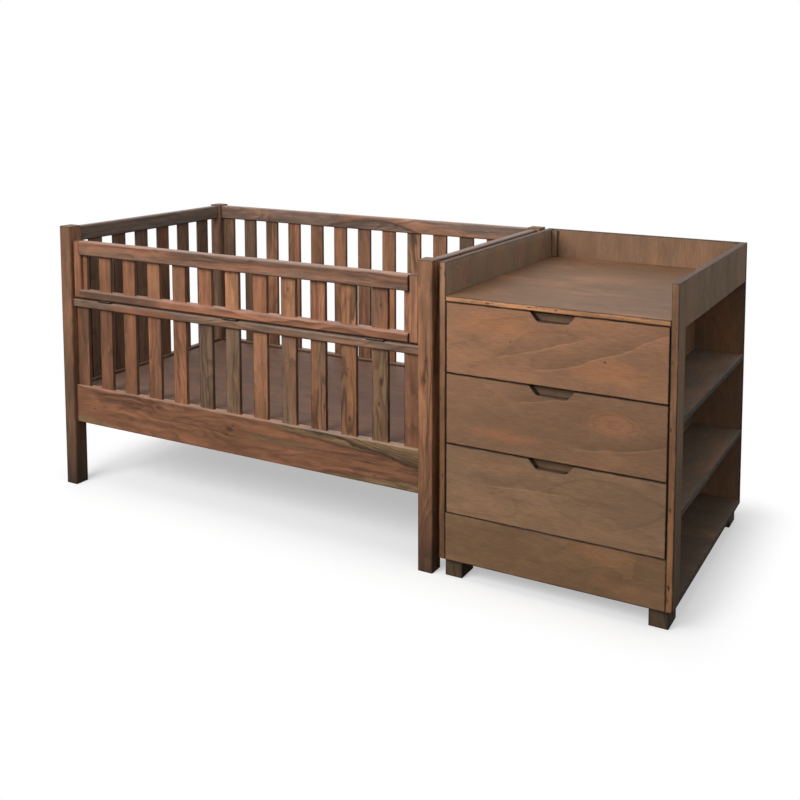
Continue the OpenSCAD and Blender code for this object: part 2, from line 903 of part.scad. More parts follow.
module dresser_feet() {
    color(edge_wood) place()
        for (x = [dresser_x + foot_inset, dresser_x1 - foot_inset - foot_w],
             y = [foot_inset, dresser_d - foot_inset - foot_d])
            block([x, y, 0], [x + foot_w, y + foot_d, base_z]);
}

function drawer_z(n) = tray_under - n * drawer_pitch + front_gap / 2;

module drawer_runners() {
    reach = box_gap + runner_reach;
    color(box_wood) place()
        for (n = [1 : drawer_count], x = [wall_x, partition_x - reach])
            block([x, runner_y, drawer_z(n) + runner_lift],
                  [x + reach, runner_end, drawer_z(n) + runner_lift + runner_h]);
}

module link_bolts() {
    color(steel) place()
        for (y = link_ys, z = link_zs) {
            rod_x(bolt_line_x - link_in_rail, wall_x - head_depth, y, z, link_r);
            rod_x(wall_x - head_depth, wall_x - head_depth + link_head_t, y, z, link_head_r);
        }
}

module link_spacers() {
    color(edge_wood) place()
        for (y = link_ys, z = link_zs)
            difference() {
                rod_x(bolt_line_x, dresser_x, y, z, 3 * link_r);
                rod_x(bolt_line_x - 1, dresser_x + 1, y, z, link_r + play);
            }
}

// Drawers, counted from the top
module drawer_front(n) {
    grip_x = (wall_x + wall_x1) / 2;
    top = drawer_z(n) + front_h;
    color(panel_wood) place() difference() {
        block([wall_x + front_gap, 0, drawer_z(n)], [wall_x + front_gap + front_w, front_t, top]);
        translate([grip_x, front_t + 1, top]) rotate([90, 0, 0]) linear_extrude(front_t + 2)
            polygon([
                [-grip_bottom_w / 2, -grip_h], [grip_bottom_w / 2, -grip_h],
                [grip_top_w / 2, 0], [grip_top_w / 2, 1], [-grip_top_w / 2, 1], [-grip_top_w / 2, 0]
            ]);
    }
}

// The space of a drawer's bottom, grown by a clearance
module bottom_panel(n, grow) {
    z = drawer_z(n) + box_lift + bottom_lift;
    block([box_x + box_side_t - bottom_groove - grow, side_y - bottom_groove - grow, z - grow],
          [box_x + box_w - box_side_t + bottom_groove + grow, front_t + box_d + grow, z + bottom_t + grow]);
}

module box_side(n) {
    z = drawer_z(n) + box_lift;
    difference() {
        block([box_x, side_y, z], [box_x + box_side_t, front_t + box_d, z + box_h]);
        block([box_x - 1, runner_y - 5, drawer_z(n) + runner_lift - runner_play],
              [box_x + runner_reach + runner_play, front_t + box_d + 1,
               drawer_z(n) + runner_lift + runner_h + runner_play]);
        bottom_panel(n, play);
    }
}

module drawer_sides(n) {
    color(box_wood) place() {
        box_side(n);
        translate([2 * box_x + box_w, 0, 0]) mirror([1, 0, 0]) box_side(n);
    }
}

// The box's inner front, which backs the finger cut-out, and its back
module drawer_ends(n) {
    z = drawer_z(n) + box_lift;
    color(box_wood) place() {
        difference() {
            block([box_x, front_t, z], [box_x + box_w, side_y, drawer_z(n) + front_h - grip_reveal]);
            bottom_panel(n, play);
        }
        block([box_x + box_side_t, front_t + box_d - box_end_t, z + bottom_lift + bottom_t + play],
              [box_x + box_w - box_side_t, front_t + box_d, z + box_h]);
    }
}

module drawer_bottom(n) {
    color(box_wood) place() bottom_panel(n, 0);
}

post_front_left();
post_front_right();
post_back_left();
post_back_right();
front_lower_rail();
front_middle_rail();
hinge_gap_strip();
front_slats();
back_top_rail();
back_lower_rail();
back_slats();
left_top_rail();
left_lower_rail();
left_slats();
right_top_rail();
right_lower_rail();
right_slats();
frame_dowels();
frame_screws();
mattress_board();
board_cleats();
board_bearers();
gate_top_rail();
gate_bottom_rail();
gate_stiles();
gate_slats();
gate_dowels();
gate_screws();
hinge_frame_leaves();
hinge_gate_leaves();
hinge_pins();
latch_plates();
latch_bolt_left();
latch_bolt_right();
dresser_left_side();
dresser_right_side();
dresser_back();
tray_board();
bottom_board();
kick_board();
partition();
bookcase_front_wall();
upper_shelf();
lower_shelf();
corner_battens();
dresser_feet();
drawer_runners();
link_bolts();
link_spacers();
drawer_front(1);  // drawer_1_front
drawer_sides(1);  // drawer_1_sides
drawer_ends(1);  // drawer_1_ends
drawer_bottom(1);  // drawer_1_bottom
drawer_front(2);  // drawer_2_front
drawer_sides(2);  // drawer_2_sides
drawer_ends(2);  // drawer_2_ends
drawer_bottom(2);  // drawer_2_bottom
drawer_front(3);  // drawer_3_front
drawer_sides(3);  // drawer_3_sides
drawer_ends(3);  // drawer_3_ends
drawer_bottom(3);  // drawer_3_bottom
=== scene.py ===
import logging
import math
from dataclasses import dataclass, field, replace
from enum import Enum
from typing import Callable, Iterable, Mapping, Optional, Sequence, Union

import bmesh
import bpy
from mathutils import Matrix, Vector


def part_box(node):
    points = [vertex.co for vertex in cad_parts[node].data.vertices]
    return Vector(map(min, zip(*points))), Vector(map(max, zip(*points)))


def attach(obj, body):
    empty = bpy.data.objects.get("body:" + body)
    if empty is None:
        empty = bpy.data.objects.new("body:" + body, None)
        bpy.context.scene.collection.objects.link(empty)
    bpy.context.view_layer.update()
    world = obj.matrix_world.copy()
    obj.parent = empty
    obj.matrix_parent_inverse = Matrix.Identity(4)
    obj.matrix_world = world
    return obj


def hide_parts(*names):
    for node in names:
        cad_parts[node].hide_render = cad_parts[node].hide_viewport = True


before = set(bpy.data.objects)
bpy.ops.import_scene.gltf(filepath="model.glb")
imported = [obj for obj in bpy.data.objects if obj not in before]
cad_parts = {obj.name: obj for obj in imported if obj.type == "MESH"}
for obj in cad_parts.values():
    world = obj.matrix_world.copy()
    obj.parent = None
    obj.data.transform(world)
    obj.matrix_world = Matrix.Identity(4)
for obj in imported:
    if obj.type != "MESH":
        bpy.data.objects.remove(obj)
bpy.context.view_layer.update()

LOG = logging.getLogger("crib")
RIM_LAYER = "rim"
TONE_LAYER = "tone"
WHITE = (1.0, 1.0, 1.0, 1.0)
VIEWPORT_BROWN = (0.3, 0.18, 0.12, 1.0)
Box = tuple[Vector, Vector]
Operand = Union["Value", float]
Paint = Union["Value", "Tint"]


class Body(Enum):
    """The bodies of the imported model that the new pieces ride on."""

    FRAME = "frame"
    GATE = "gate"
    DRAWER_1 = "drawer_1"
    DRAWER_2 = "drawer_2"
    DRAWER_3 = "drawer_3"


class Slot(Enum):
    """The record's material slots, one for each kind of new piece; nothing reads them."""

    SLAT = "slat_wood"
    BOARD = "board_wood"
    PANEL = "panel_wood"
    DRAWER = "drawer_wood"


class Grain(Enum):
    """A direction in a board: the way that its grain runs, or that of its thickness."""

    X = 0
    Y = 1
    Z = 2


@dataclass(frozen=True)
class Tint:
    """A colour as it is seen on screen, each part from 0 to 255."""

    red: float
    green: float
    blue: float
    full = 255.0
    knee = 0.04045
    foot = 12.92
    lift = 0.055
    power = 2.4

    def linear(self) -> tuple[float, float, float, float]:
        """Turns the colour to light, which is what a shader takes.

        Returns:
            The red, green and blue light and an alpha of 1, by the screen's standard curve.
        """
        parts = [c / self.full for c in (self.red, self.green, self.blue)]
        lit = [p / self.foot if p <= self.knee else ((p + self.lift) / (1 + self.lift)) ** self.power
               for p in parts]
        return (lit[0], lit[1], lit[2], 1.0)

    def scaled(self, by: float) -> "Tint":
        """The same colour, darker or lighter."""
        return Tint(*(min(self.full, c * by) for c in (self.red, self.green, self.blue)))


def operation(kind: str, swapped: bool = False) -> Callable[..., "Value"]:
    """Makes a method of Value.

    Args:
        kind: the operation of the Math node that the method adds.
        swapped: whether the other operand comes first.

    Returns:
        The method, which takes the other operand if the operation has one.
    """
    def method(self: "Value", *others: Operand) -> "Value":
        """Adds the Math node."""
        return self.nodes.math(kind, *others, self) if swapped else self.nodes.math(kind, self, *others)
    return method


class Value:
    """A node's output, on which Python's arithmetic adds Math nodes."""

    __add__ = __radd__ = operation("ADD")
    __sub__ = operation("SUBTRACT")
    __rsub__ = operation("SUBTRACT", swapped=True)
    __mul__ = __rmul__ = operation("MULTIPLY")
    __truediv__ = operation("DIVIDE")
    __pow__ = operation("POWER")
    __abs__ = operation("ABSOLUTE")
    fraction = operation("FRACT")
    sine = operation("SINE")
    exponent = operation("EXPONENT")
    least = operation("MINIMUM")
    most = operation("MAXIMUM")

    def __init__(self, nodes: "Nodes", socket: bpy.types.NodeSocket) -> None:
        """Keeps the socket and the node tree that it belongs to."""
        self.nodes = nodes
        self.socket = socket

    def rise(self, low: float, high: float) -> "Value":
        """A soft step from 0, where self is low, to 1, where it is high."""
        node = self.nodes.add("ShaderNodeMapRange", {"interpolation_type": "SMOOTHSTEP"},
                              {"Value": self, "From Min": low, "From Max": high})
        return Value(self.nodes, node.outputs["Result"])


@dataclass(frozen=True)
class Coat:
    """A coat of colour, laid where a mask is high.

    It grows by a soft step from low to high in the mask, up to its share. Its colour is a tint made lighter
    or darker by its shade.
    """

    low: float
    high: float
    share: float = 1.0
    shade: float = 1.0

    def over(self, mask: Value) -> Value:
        """How much of the coat lies on a point, from the mask's value there."""
        return mask.rise(self.low, self.high) * self.share

    def paint(self, tint: Paint) -> Paint:
        """The coat's colour; one that comes from nodes is taken as it is."""
        return tint.scaled(self.shade) if isinstance(tint, Tint) else tint

    def thinned(self, by: float) -> "Coat":
        """The same coat with less of its share."""
        return replace(self, share=self.share * by)


class Nodes:
    """Writes the node tree of one material or of the world."""

    def __init__(self, tree: bpy.types.NodeTree) -> None:
        """Empties the tree."""
        self.tree = tree
        tree.nodes.clear()

    def add(self, kind: str, settings: Mapping[str, object],
            inputs: Mapping[object, object]) -> bpy.types.Node:
        """Adds one node.

        Args:
            kind: the node's type.
            settings: its own settings, set before its sockets.
            inputs: the value or the link of each socket, by name or number.

        Returns:
            The node.
        """
        node = self.tree.nodes.new(kind)
        for name, setting in settings.items():
            setattr(node, name, setting)
        for name, given in inputs.items():
            socket = node.inputs[name]
            if isinstance(given, Value):
                self.tree.links.new(given.socket, socket)
            else:
                socket.default_value = given.linear() if isinstance(given, Tint) else given
        return node

    def out(self, node: bpy.types.Node, output: Union[int, str] = 0) -> Value:
        """One output of a node as a value."""
        return Value(self, node.outputs[output])

    def math(self, kind: str, *operands: Operand) -> Value:
        """Adds a Math node for one operation on one or two operands."""
        return self.out(self.add("ShaderNodeMath", {"operation": kind}, dict(enumerate(operands))))

    def coordinates(self, kind: str) -> tuple[Value, Value, Value]:
        """A point's Object coordinates, or its Normal, as three numbers."""
        whole = self.out(self.add("ShaderNodeTexCoord", {}, {}), kind)
        node = self.add("ShaderNodeSeparateXYZ", {}, {"Vector": whole})
        return self.out(node, 0), self.out(node, 1), self.out(node, 2)

    def noise(self, where: tuple[Operand, Operand, Operand], detail: float, rough: float) -> Value:
        """Soft noise from 0 to 1 about 0.5, at a point in units of one cloud."""
        point = self.out(self.add("ShaderNodeCombineXYZ", {}, dict(zip("XYZ", where))))
        inputs = {"Vector": point, "Scale": 1.0, "Detail": detail, "Roughness": rough}
        return self.out(self.add("ShaderNodeTexNoise", {}, inputs))

    def mix(self, share: Operand, first: Paint, second: Paint) -> Value:
        """Mixes two colours, where share is how much of the second."""
        node = self.add("ShaderNodeMix", {"data_type": "RGBA"}, {0: share, 6: first, 7: second})
        return self.out(node, 2)

    def times(self, colour: Value, by: Value) -> Value:
        """A colour made darker or lighter by a number."""
        settings = {"data_type": "RGBA", "blend_type": "MULTIPLY"}
        return self.out(self.add("ShaderNodeMix", settings, {0: 1.0, 6: colour, 7: by}), 2)

    def coats(self, colour: Paint, layers: Iterable[tuple[Coat, Value, Paint]]) -> Value:
        """Lays coats over a colour in turn.

        Args:
            colour: what lies under them.
            layers: each coat with the mask that places it and the tint that it is mixed from.

        Returns:
            The colour on top.
        """
        for coat, mask, tint in layers:
            colour = self.mix(coat.over(mask), colour, coat.paint(tint))
        return colour

    def attribute(self, name: str) -> Value:
        """A number that the mesh keeps at its points."""
        return self.out(self.add("ShaderNodeAttribute", {"attribute_name": name}, {}), "Fac")

    def shader(self, kind: str, inputs: Mapping[object, object]) -> Value:
        """Adds a surface shader."""
        return self.out(self.add(kind, {}, inputs))

    def blend(self, share: Operand, first: Value, second: Value) -> Value:
        """Mixes two shaders, where share is how much of the second."""
        return self.out(self.add("ShaderNodeMixShader", {}, {0: share, 1: first, 2: second}))


@dataclass(frozen=True)
class Spot:
    """Where a point lies in its board, in metres: along the grain, across it and through the thickness."""

    nodes: Nodes
    along: Value
    across: Value
    deep: Value

    def moved(self, by: float) -> "Spot":
        """The same point in a board cut from further along."""
        return replace(self, along=self.along + by)

    def oval(self, along: float, across: float, length: float, height: float) -> Value:
        """How far the point is from the middle of an oval, squared, so that it is 1 on the rim."""
        run, rise = (self.along - along) / length, (self.across - across) / height
        return run * run + rise * rise


def board_spot(nodes: Nodes, grain: Grain, thin: Grain) -> Spot:
    """Where the shaded point lies in a board whose grain and thickness run in the given directions."""
    place = nodes.coordinates("Object")
    return Spot(nodes, place[grain.value], place[3 - grain.value - thin.value], place[thin.value])


@dataclass(frozen=True)
class Noise:
    """A noise in a board, by how many of its clouds lie in a metre along the grain and across it."""

    along: float
    across: float
    detail: float = 2.0
    rough: float = 0.5
    shift: float = 0.0

    def at(self, spot: Spot) -> Value:
        """The noise at a point of a board, from 0 to 1 about 0.5."""
        where = (spot.along * self.along + self.shift, spot.across * self.across, spot.deep * self.across)
        return spot.nodes.noise(where, self.detail, self.rough)


@dataclass(frozen=True)
class Knot:
    """A knot, by its place along and across the grain, in metres."""

    along: float
    across: float
    radius: float

    def span(self, spot: Spot, stretch: float) -> Value:
        """How far a point is from the knot, squared, where stretch is its length beside its height."""
        return spot.oval(self.along, self.across, self.radius * stretch, self.radius)


@dataclass(frozen=True)
class Border:
    """A slanting line along a board, with sapwood on one side and perhaps a dark streak on it."""

    along: float
    across: float
    slope: float
    side: int = 1
    streak: float = 0.0
    start: float = -9.0
    stop: float = 9.0
    bend: float = 0.0
    fade = 0.10
    thin = -30000.0
    threads_per_metre = 120.0
    thread_waver = 3.0

    def gap(self, spot: Spot) -> Value:
        """How far a point is from the line, across the board."""
        run = spot.along - self.along
        return spot.across - self.across - run * self.slope - run * run * self.bend

    def reach(self, spot: Spot) -> Value:
        """1 between the line's two ends and 0 beyond them."""
        ended = (spot.along - self.stop).rise(-self.fade, 0.0)
        return (spot.along - self.start).rise(0.0, self.fade) * (1.0 - ended)

    def darkness(self, gap: Value, swirl: Value) -> Value:
        """How dark the streak on the line is.

        Args:
            gap: how far the point is from the line.
            swirl: the noise that the growth lines follow.

        Returns:
            The streak's core and the threads beside it, from 0 to 1.
        """
        threads = (gap * self.threads_per_metre + swirl * self.thread_waver).fraction().rise(0.40, 0.9)
        threads = threads * (1.0 - gap.rise(0.01, 0.06)) * gap.rise(-0.03, 0.0) * 0.75
        return (gap * gap * self.thin).exponent().most(threads)


@dataclass(frozen=True)
class Patch:
    """A long patch of heartwood or of warmer colour, perhaps with rings about it."""

    along: float
    across: float
    length: float
    height: float
    rings: float = 0.0

    def span(self, spot: Spot) -> Value:
        """How far a point is from the patch's middle, squared, so that it is 1 on the rim."""
        return spot.oval(self.along, self.across, self.length, self.height)


@dataclass(frozen=True)
class Stock:
    """The colours and the figure of the timber that a board is sawn from."""

    heart: Tint
    sap: Tint
    sap_share: float = 0.35
    vein: float = 0.5
    figure: float = 0.5

    def shaded(self, by: float) -> "Stock":
        """The same timber, darker or lighter."""
        return replace(self, heart=self.heart.scaled(by), sap=self.sap.scaled(by))


class Timber(Enum):
    """The sorts of timber that the maker mixed in the crib."""

    AMBER = Stock(Tint(170, 118, 84), Tint(152, 108, 78), 0.30, 0.35, 0.35)
    HONEY = Stock(Tint(166, 113, 78), Tint(146, 106, 76), 0.50, 0.60, 0.80)
    RUSSET = Stock(Tint(154, 102, 72), Tint(140, 98, 72), 0.35, 0.50, 0.40)
    UMBER = Stock(Tint(136, 91, 65), Tint(122, 86, 62), 0.40, 0.60, 0.50)
    OLIVE = Stock(Tint(142, 102, 76), Tint(138, 109, 84), 0.55, 0.60, 0.46)
    DUSK = Stock(Tint(118, 86, 65), Tint(124, 97, 75), 0.55, 0.60, 0.42)
    SPLIT = Stock(Tint(154, 104, 73), Tint(138, 106, 78), 0.50, 0.70, 0.80)
    EDGE = Stock(Tint(176, 124, 84), Tint(158, 112, 76), 0.40, 0.40, 0.35)


VEIN = Tint(46, 31, 22)
KNOT = Tint(56, 32, 22)
CHIP = Tint(50, 35, 24)
# The colour of the painted sheen on top faces
PAINTED_SHEEN = Tint(196, 158, 138)
END_GRAIN = Tint(72, 50, 37)
# The colour of the painted shade that darkens a finish towards the floor
PAINTED_FLOOR_SHADE = Tint(24, 29, 28)


def new_material(name: str) -> tuple[bpy.types.Material, Nodes]:
    """An empty material, and the writer of its nodes."""
    material = bpy.data.materials.new(name)
    material.use_nodes = True
    return material, Nodes(material.node_tree)


def box_rim(nodes: Nodes, box: Box, width: float = 0.007) -> Value:
    """A mask that is 1 along the edges of a box and 0 elsewhere.

    Args:
        nodes: the writer of the material's nodes.
        box: the lowest and highest corners.
        width: how far the mask reaches from an edge.

    Returns:
        The mask, from how near a point is to the second nearest pair of faces.
    """
    low, high = box
    near = [(p - low[i]).least(high[i] - p) for i, p in enumerate(nodes.coordinates("Object"))]
    middle = near[0].least(near[1]).most(near[0].most(near[1]).least(near[2]))
    return 1.0 - middle.rise(0.0, width)


@dataclass(frozen=True)
class Look:
    """What a finish gives a point: its colour, its roughness about 0 and its height, from 0 to 1."""

    colour: Value
    rough: Value
    height: Value


@dataclass(frozen=True)
class Finish:
    """What every finish shares: a name, a lacquer and the painted shade that darkens it towards the floor.
    """

    name: str
    gloss: float = 0.5
    shine: float = 0.35
    metal: float = 0.0
    # How much painted shade darkens the finish towards the floor, and how far up it reaches, in metres
    grime: float = 0.0
    grime_reach: float = 0.22
    smoothest = 0.12
    relief = 0.35
    relief_height = 0.0006

    def look(self, nodes: Nodes, rim: Value) -> Look:
        """What the finish gives a point, where rim is 1 along the piece's edges and 0 away from them."""
        raise NotImplementedError

    def material(self, box: Optional[Box] = None) -> bpy.types.Material:
        """Writes the finish as a material.

        Args:
            box: the piece's box, where its rims come from; None where the mesh keeps its rims.

        Returns:
            The material.
        """
        material, nodes = new_material(self.name)
        look = self.look(nodes, box_rim(nodes, box) if box else nodes.attribute(RIM_LAYER))
        colour = look.colour
        # Painted shade, darker towards the floor
        if self.grime:
            low = (nodes.coordinates("Object")[2] / -self.grime_reach).exponent()
            colour = nodes.mix(low * self.grime, colour, PAINTED_FLOOR_SHADE)
        bump = nodes.add("ShaderNodeBump", {}, {"Strength": self.relief, "Distance": self.relief_height,
                                                "Height": look.height})
        surface = nodes.shader("ShaderNodeBsdfPrincipled", {
            "Base Color": colour, "Roughness": (look.rough + self.gloss).most(self.smoothest).least(1.0),
            "Metallic": self.metal, "Specular IOR Level": self.shine, "Normal": nodes.out(bump)})
        nodes.add("ShaderNodeOutputMaterial", {}, {"Surface": surface})
        material.diffuse_color = VIEWPORT_BROWN
        return material


@dataclass(frozen=True)
class Growth:
    """What a tree's growth gives a point of a board.

    The grain's own waver comes first, then the board's noises, its growth lines with the dark late wood in
    them, and its veins, fibres, pores and knots.
    """

    sway: Value
    swirl: Value
    sap: Value
    shade: Value
    streak: Value
    mottle: Value
    rings: Value
    late: Value
    figure: Value
    veins: Value
    fibre: Value
    pores: Value
    knots: Operand


@dataclass(frozen=True)
class SolidWood(Finish):
    """Oiled solid timber, with growth lines, dark veins, sapwood, knots and worn edges."""

    gloss: float = 0.46
    shine: float = 0.45
    grain: Grain = Grain.X
    stock: Stock = Timber.RUSSET.value
    seed: int = 0
    spacing: float = 0.050
    swirl: float = 9.0
    knots: tuple[Knot, ...] = ()
    borders: tuple[Border, ...] = ()
    patches: tuple[Patch, ...] = ()
    rim_depth: float = 0.6
    specks: float = 0.0
    # How strongly a painted sheen lightens the top faces
    bloom: float = 0.0
    toned: bool = False

    # How far apart two boards are cut, and how the grain wanders in one, in metres
    apart = 1.713
    wander = 0.05
    waver = 0.014
    dip = 0.03
    ring_tilt = 0.4
    sap_reach = 0.34
    vein_thinness = 22.0

    # How a knot is stretched, how far it bends the grain and how small its dark core is
    knot_stretch = 2.0
    knot_fade = -0.16
    knot_push = 0.8
    knot_core = 8.0

    # The noises, the broad ones first
    DRIFT = Noise(1.3, 6.0, 1.0)
    SWAY = Noise(8.0, 22.0, 3.0, 0.55)
    SHADE = Noise(4.5, 15.0, 3.0, 0.55, 31.0)
    SWIRL = Noise(3.0, 13.0, 2.0, 0.45, 2.0)
    SAP = Noise(1.0, 13.0, shift=7.1)
    STRONG = Noise(2.2, 16.0, 1.0, shift=20.0)
    VEINED = Noise(1.1, 12.0, 1.0, shift=11.0)
    VEIN_LINE = Noise(1.3, 36.0, 2.0, 0.55, 3.3)
    STREAK = Noise(3.2, 36.0, 3.0, 0.55)
    MOTTLE = Noise(13.0, 60.0, 4.0, 0.6)
    SPECK = Noise(38.0, 90.0)
    FIBRE = Noise(26.0, 480.0, 3.0, 0.65)
    PORE = Noise(85.0, 1500.0, 1.0)

    # The coats, in the order that they are laid in
    SHADED = Coat(0.34, 0.70, 0.46)
    DARK_STREAK = Coat(0.44, 0.68, 0.40)
    PALE_STREAK = Coat(0.53, 0.74, 0.45, 1.22)
    DARK_MOTTLE = Coat(0.46, 0.68, 0.34)
    PALE_MOTTLE = Coat(0.54, 0.72, 0.30, 1.18)
    FIGURE = Coat(0.0, 1.0, 1.0, 0.42)
    DARK_FIBRE = Coat(0.42, 0.72, 0.24, 0.50)
    KNOTTED = Coat(0.10, 0.90, 0.66)
    SPECKED = Coat(0.64, 0.69)
    SAWN_END = Coat(0.72, 0.92)
    WORN = Coat(0.35, 1.00)
    LIT_TOP = Coat(0.35, 0.85)

    def growth(self, spot: Spot) -> Growth:
        """Bends the grain about the knots, and grows the rings, veins and pores along it.

        Args:
            spot: the point's place in the board.

        Returns:
            What the growth gives the point.
        """
        place = spot.moved(self.seed * self.apart)
        drift = self.DRIFT.at(place) - 0.5
        sway = self.SWAY.at(place) - 0.5
        flow = spot.across + drift * self.wander + sway * self.waver
        core: Operand = 0.0
        halo: Operand = 0.0
        for knot in self.knots:
            bulge = (knot.span(spot, self.knot_stretch) * self.knot_fade).exponent()
            flow = flow - (spot.across - knot.across) * bulge * self.knot_push
            core = (bulge ** self.knot_core).most(core)
            halo = bulge.most(halo)
        bent = replace(place, across=flow, deep=spot.deep + drift * self.dip)
        swirl = self.SWIRL.at(bent)
        rings = ((flow + bent.deep * self.ring_tilt) / self.spacing + swirl * self.swirl).fraction()
        late = rings.rise(0.25, 0.90) * (1.0 - rings.rise(0.90, 1.0))
        strong = self.STRONG.at(bent).rise(0.38, 0.60).most(halo)
        line = (1.0 - abs(self.VEIN_LINE.at(bent) - 0.5) * self.vein_thinness).most(0.0)
        return Growth(sway=sway, swirl=swirl, sap=self.SAP.at(bent), shade=self.SHADE.at(place),
                      streak=self.STREAK.at(bent), mottle=self.MOTTLE.at(bent), rings=rings, late=late,
                      figure=late * strong * self.stock.figure,
                      veins=line * self.VEINED.at(bent).rise(0.47, 0.62) * self.stock.vein,
                      fibre=self.FIBRE.at(bent), pores=self.PORE.at(bent).rise(0.60, 0.72), knots=core)

    def sapwood(self, spot: Spot, wood: Growth) -> tuple[Value, Operand]:
        """Parts the sapwood from the heartwood, along the board's borders and round its patches.

        Args:
            spot: the point's place in the board.
            wood: what the growth gives the point.

        Returns:
            How much sapwood there is, and how dark the streaks on the borders are.
        """
        sap = (wood.sap + (self.stock.sap_share - 0.5) * self.sap_reach).rise(0.46, 0.55)
        dark: Operand = 0.0
        for border in self.borders:
            gap = (border.gap(spot) + wood.sway * 0.022 + (wood.mottle - 0.5) * 0.016) * border.side
            reach = border.reach(spot)
            sap = sap.most(gap.rise(-0.001, 0.004) * reach)
            dark = (border.darkness(gap, wood.swirl) * reach * border.streak).most(dark)
        for patch in self.patches:
            sap = sap * (patch.span(spot) + wood.sway * 0.6).rise(0.85, 1.0)
        return sap, dark

    def timber(self, spot: Spot, wood: Growth) -> Value:
        """Colours the sound timber.

        Args:
            spot: the point's place in the board.
            wood: what the growth gives the point.

        Returns:
            The colour, from the heartwood and sapwood up to the pores and knots.
        """
        nodes = spot.nodes
        heart, pale = self.stock.heart, self.stock.sap
        sap, dark = self.sapwood(spot, wood)
        shadow = nodes.mix(sap, heart.scaled(0.62), pale.scaled(0.64))
        colour = nodes.coats(nodes.mix(sap, heart, pale), (
            (self.SHADED, wood.shade, shadow), (self.DARK_STREAK, wood.streak, shadow),
            (self.PALE_STREAK, 1.0 - wood.streak, heart), (self.DARK_MOTTLE, wood.mottle, shadow),
            (self.PALE_MOTTLE, 1.0 - wood.mottle, heart)))
        colour = nodes.mix(wood.figure, colour, self.FIGURE.paint(heart))
        broken = wood.fibre.rise(0.2, 0.5) * 0.5 + 0.5
        colour = nodes.mix((wood.veins.most(dark) * broken).least(0.92), colour, VEIN)
        colour = nodes.coats(colour, ((self.DARK_FIBRE, wood.fibre, heart),))
        colour = nodes.mix(wood.pores * 0.35, colour, VEIN)
        return nodes.coats(colour, ((self.KNOTTED, wood.knots, KNOT),)) if self.knots else colour

    def look(self, nodes: Nodes, rim: Value) -> Look:
        """Colours the grain from the point's place in the board, and then its ends, its edges and a painted
        sheen on its top.

        Args:
            nodes: the writer of the material's nodes.
            rim: 1 along the board's edges and 0 away from them.

        Returns:
            What the finish gives the point.
        """
        spot = board_spot(nodes, self.grain, Grain.X if self.grain is Grain.Y else Grain.Y)
        facing = nodes.coordinates("Normal")
        wood = self.growth(spot)
        colour = self.timber(spot, wood)
        if self.specks:
            colour = nodes.coats(colour, ((self.SPECKED.thinned(self.specks), self.SPECK.at(spot), CHIP),))
        end = self.SAWN_END.over(abs(facing[self.grain.value]))
        sawn = nodes.mix(wood.rings * 0.5, END_GRAIN, END_GRAIN.scaled(0.6))
        colour = nodes.mix(end * 0.75, colour, sawn)
        worn = self.WORN.over(rim + (wood.mottle - 0.5) * 1.2)
        colour = nodes.mix(worn * self.rim_depth, colour, CHIP)
        if self.toned:
            colour = nodes.times(colour, nodes.attribute(TONE_LAYER))
        # A painted sheen on the faces that look up
        if self.bloom:
            sheen_mask = self.LIT_TOP.over(facing[2]) * (wood.streak.rise(0.25, 0.6) * 0.4 + 0.6)
            colour = nodes.mix(sheen_mask * self.bloom, colour, PAINTED_SHEEN)
        return Look(colour, (wood.fibre - 0.5) * 0.16 + wood.pores * 0.14 + end * 0.2 - worn * 0.06,
                    0.6 - wood.pores * 0.45 - wood.late * 0.15 - wood.veins * 0.2 + wood.fibre * 0.25)


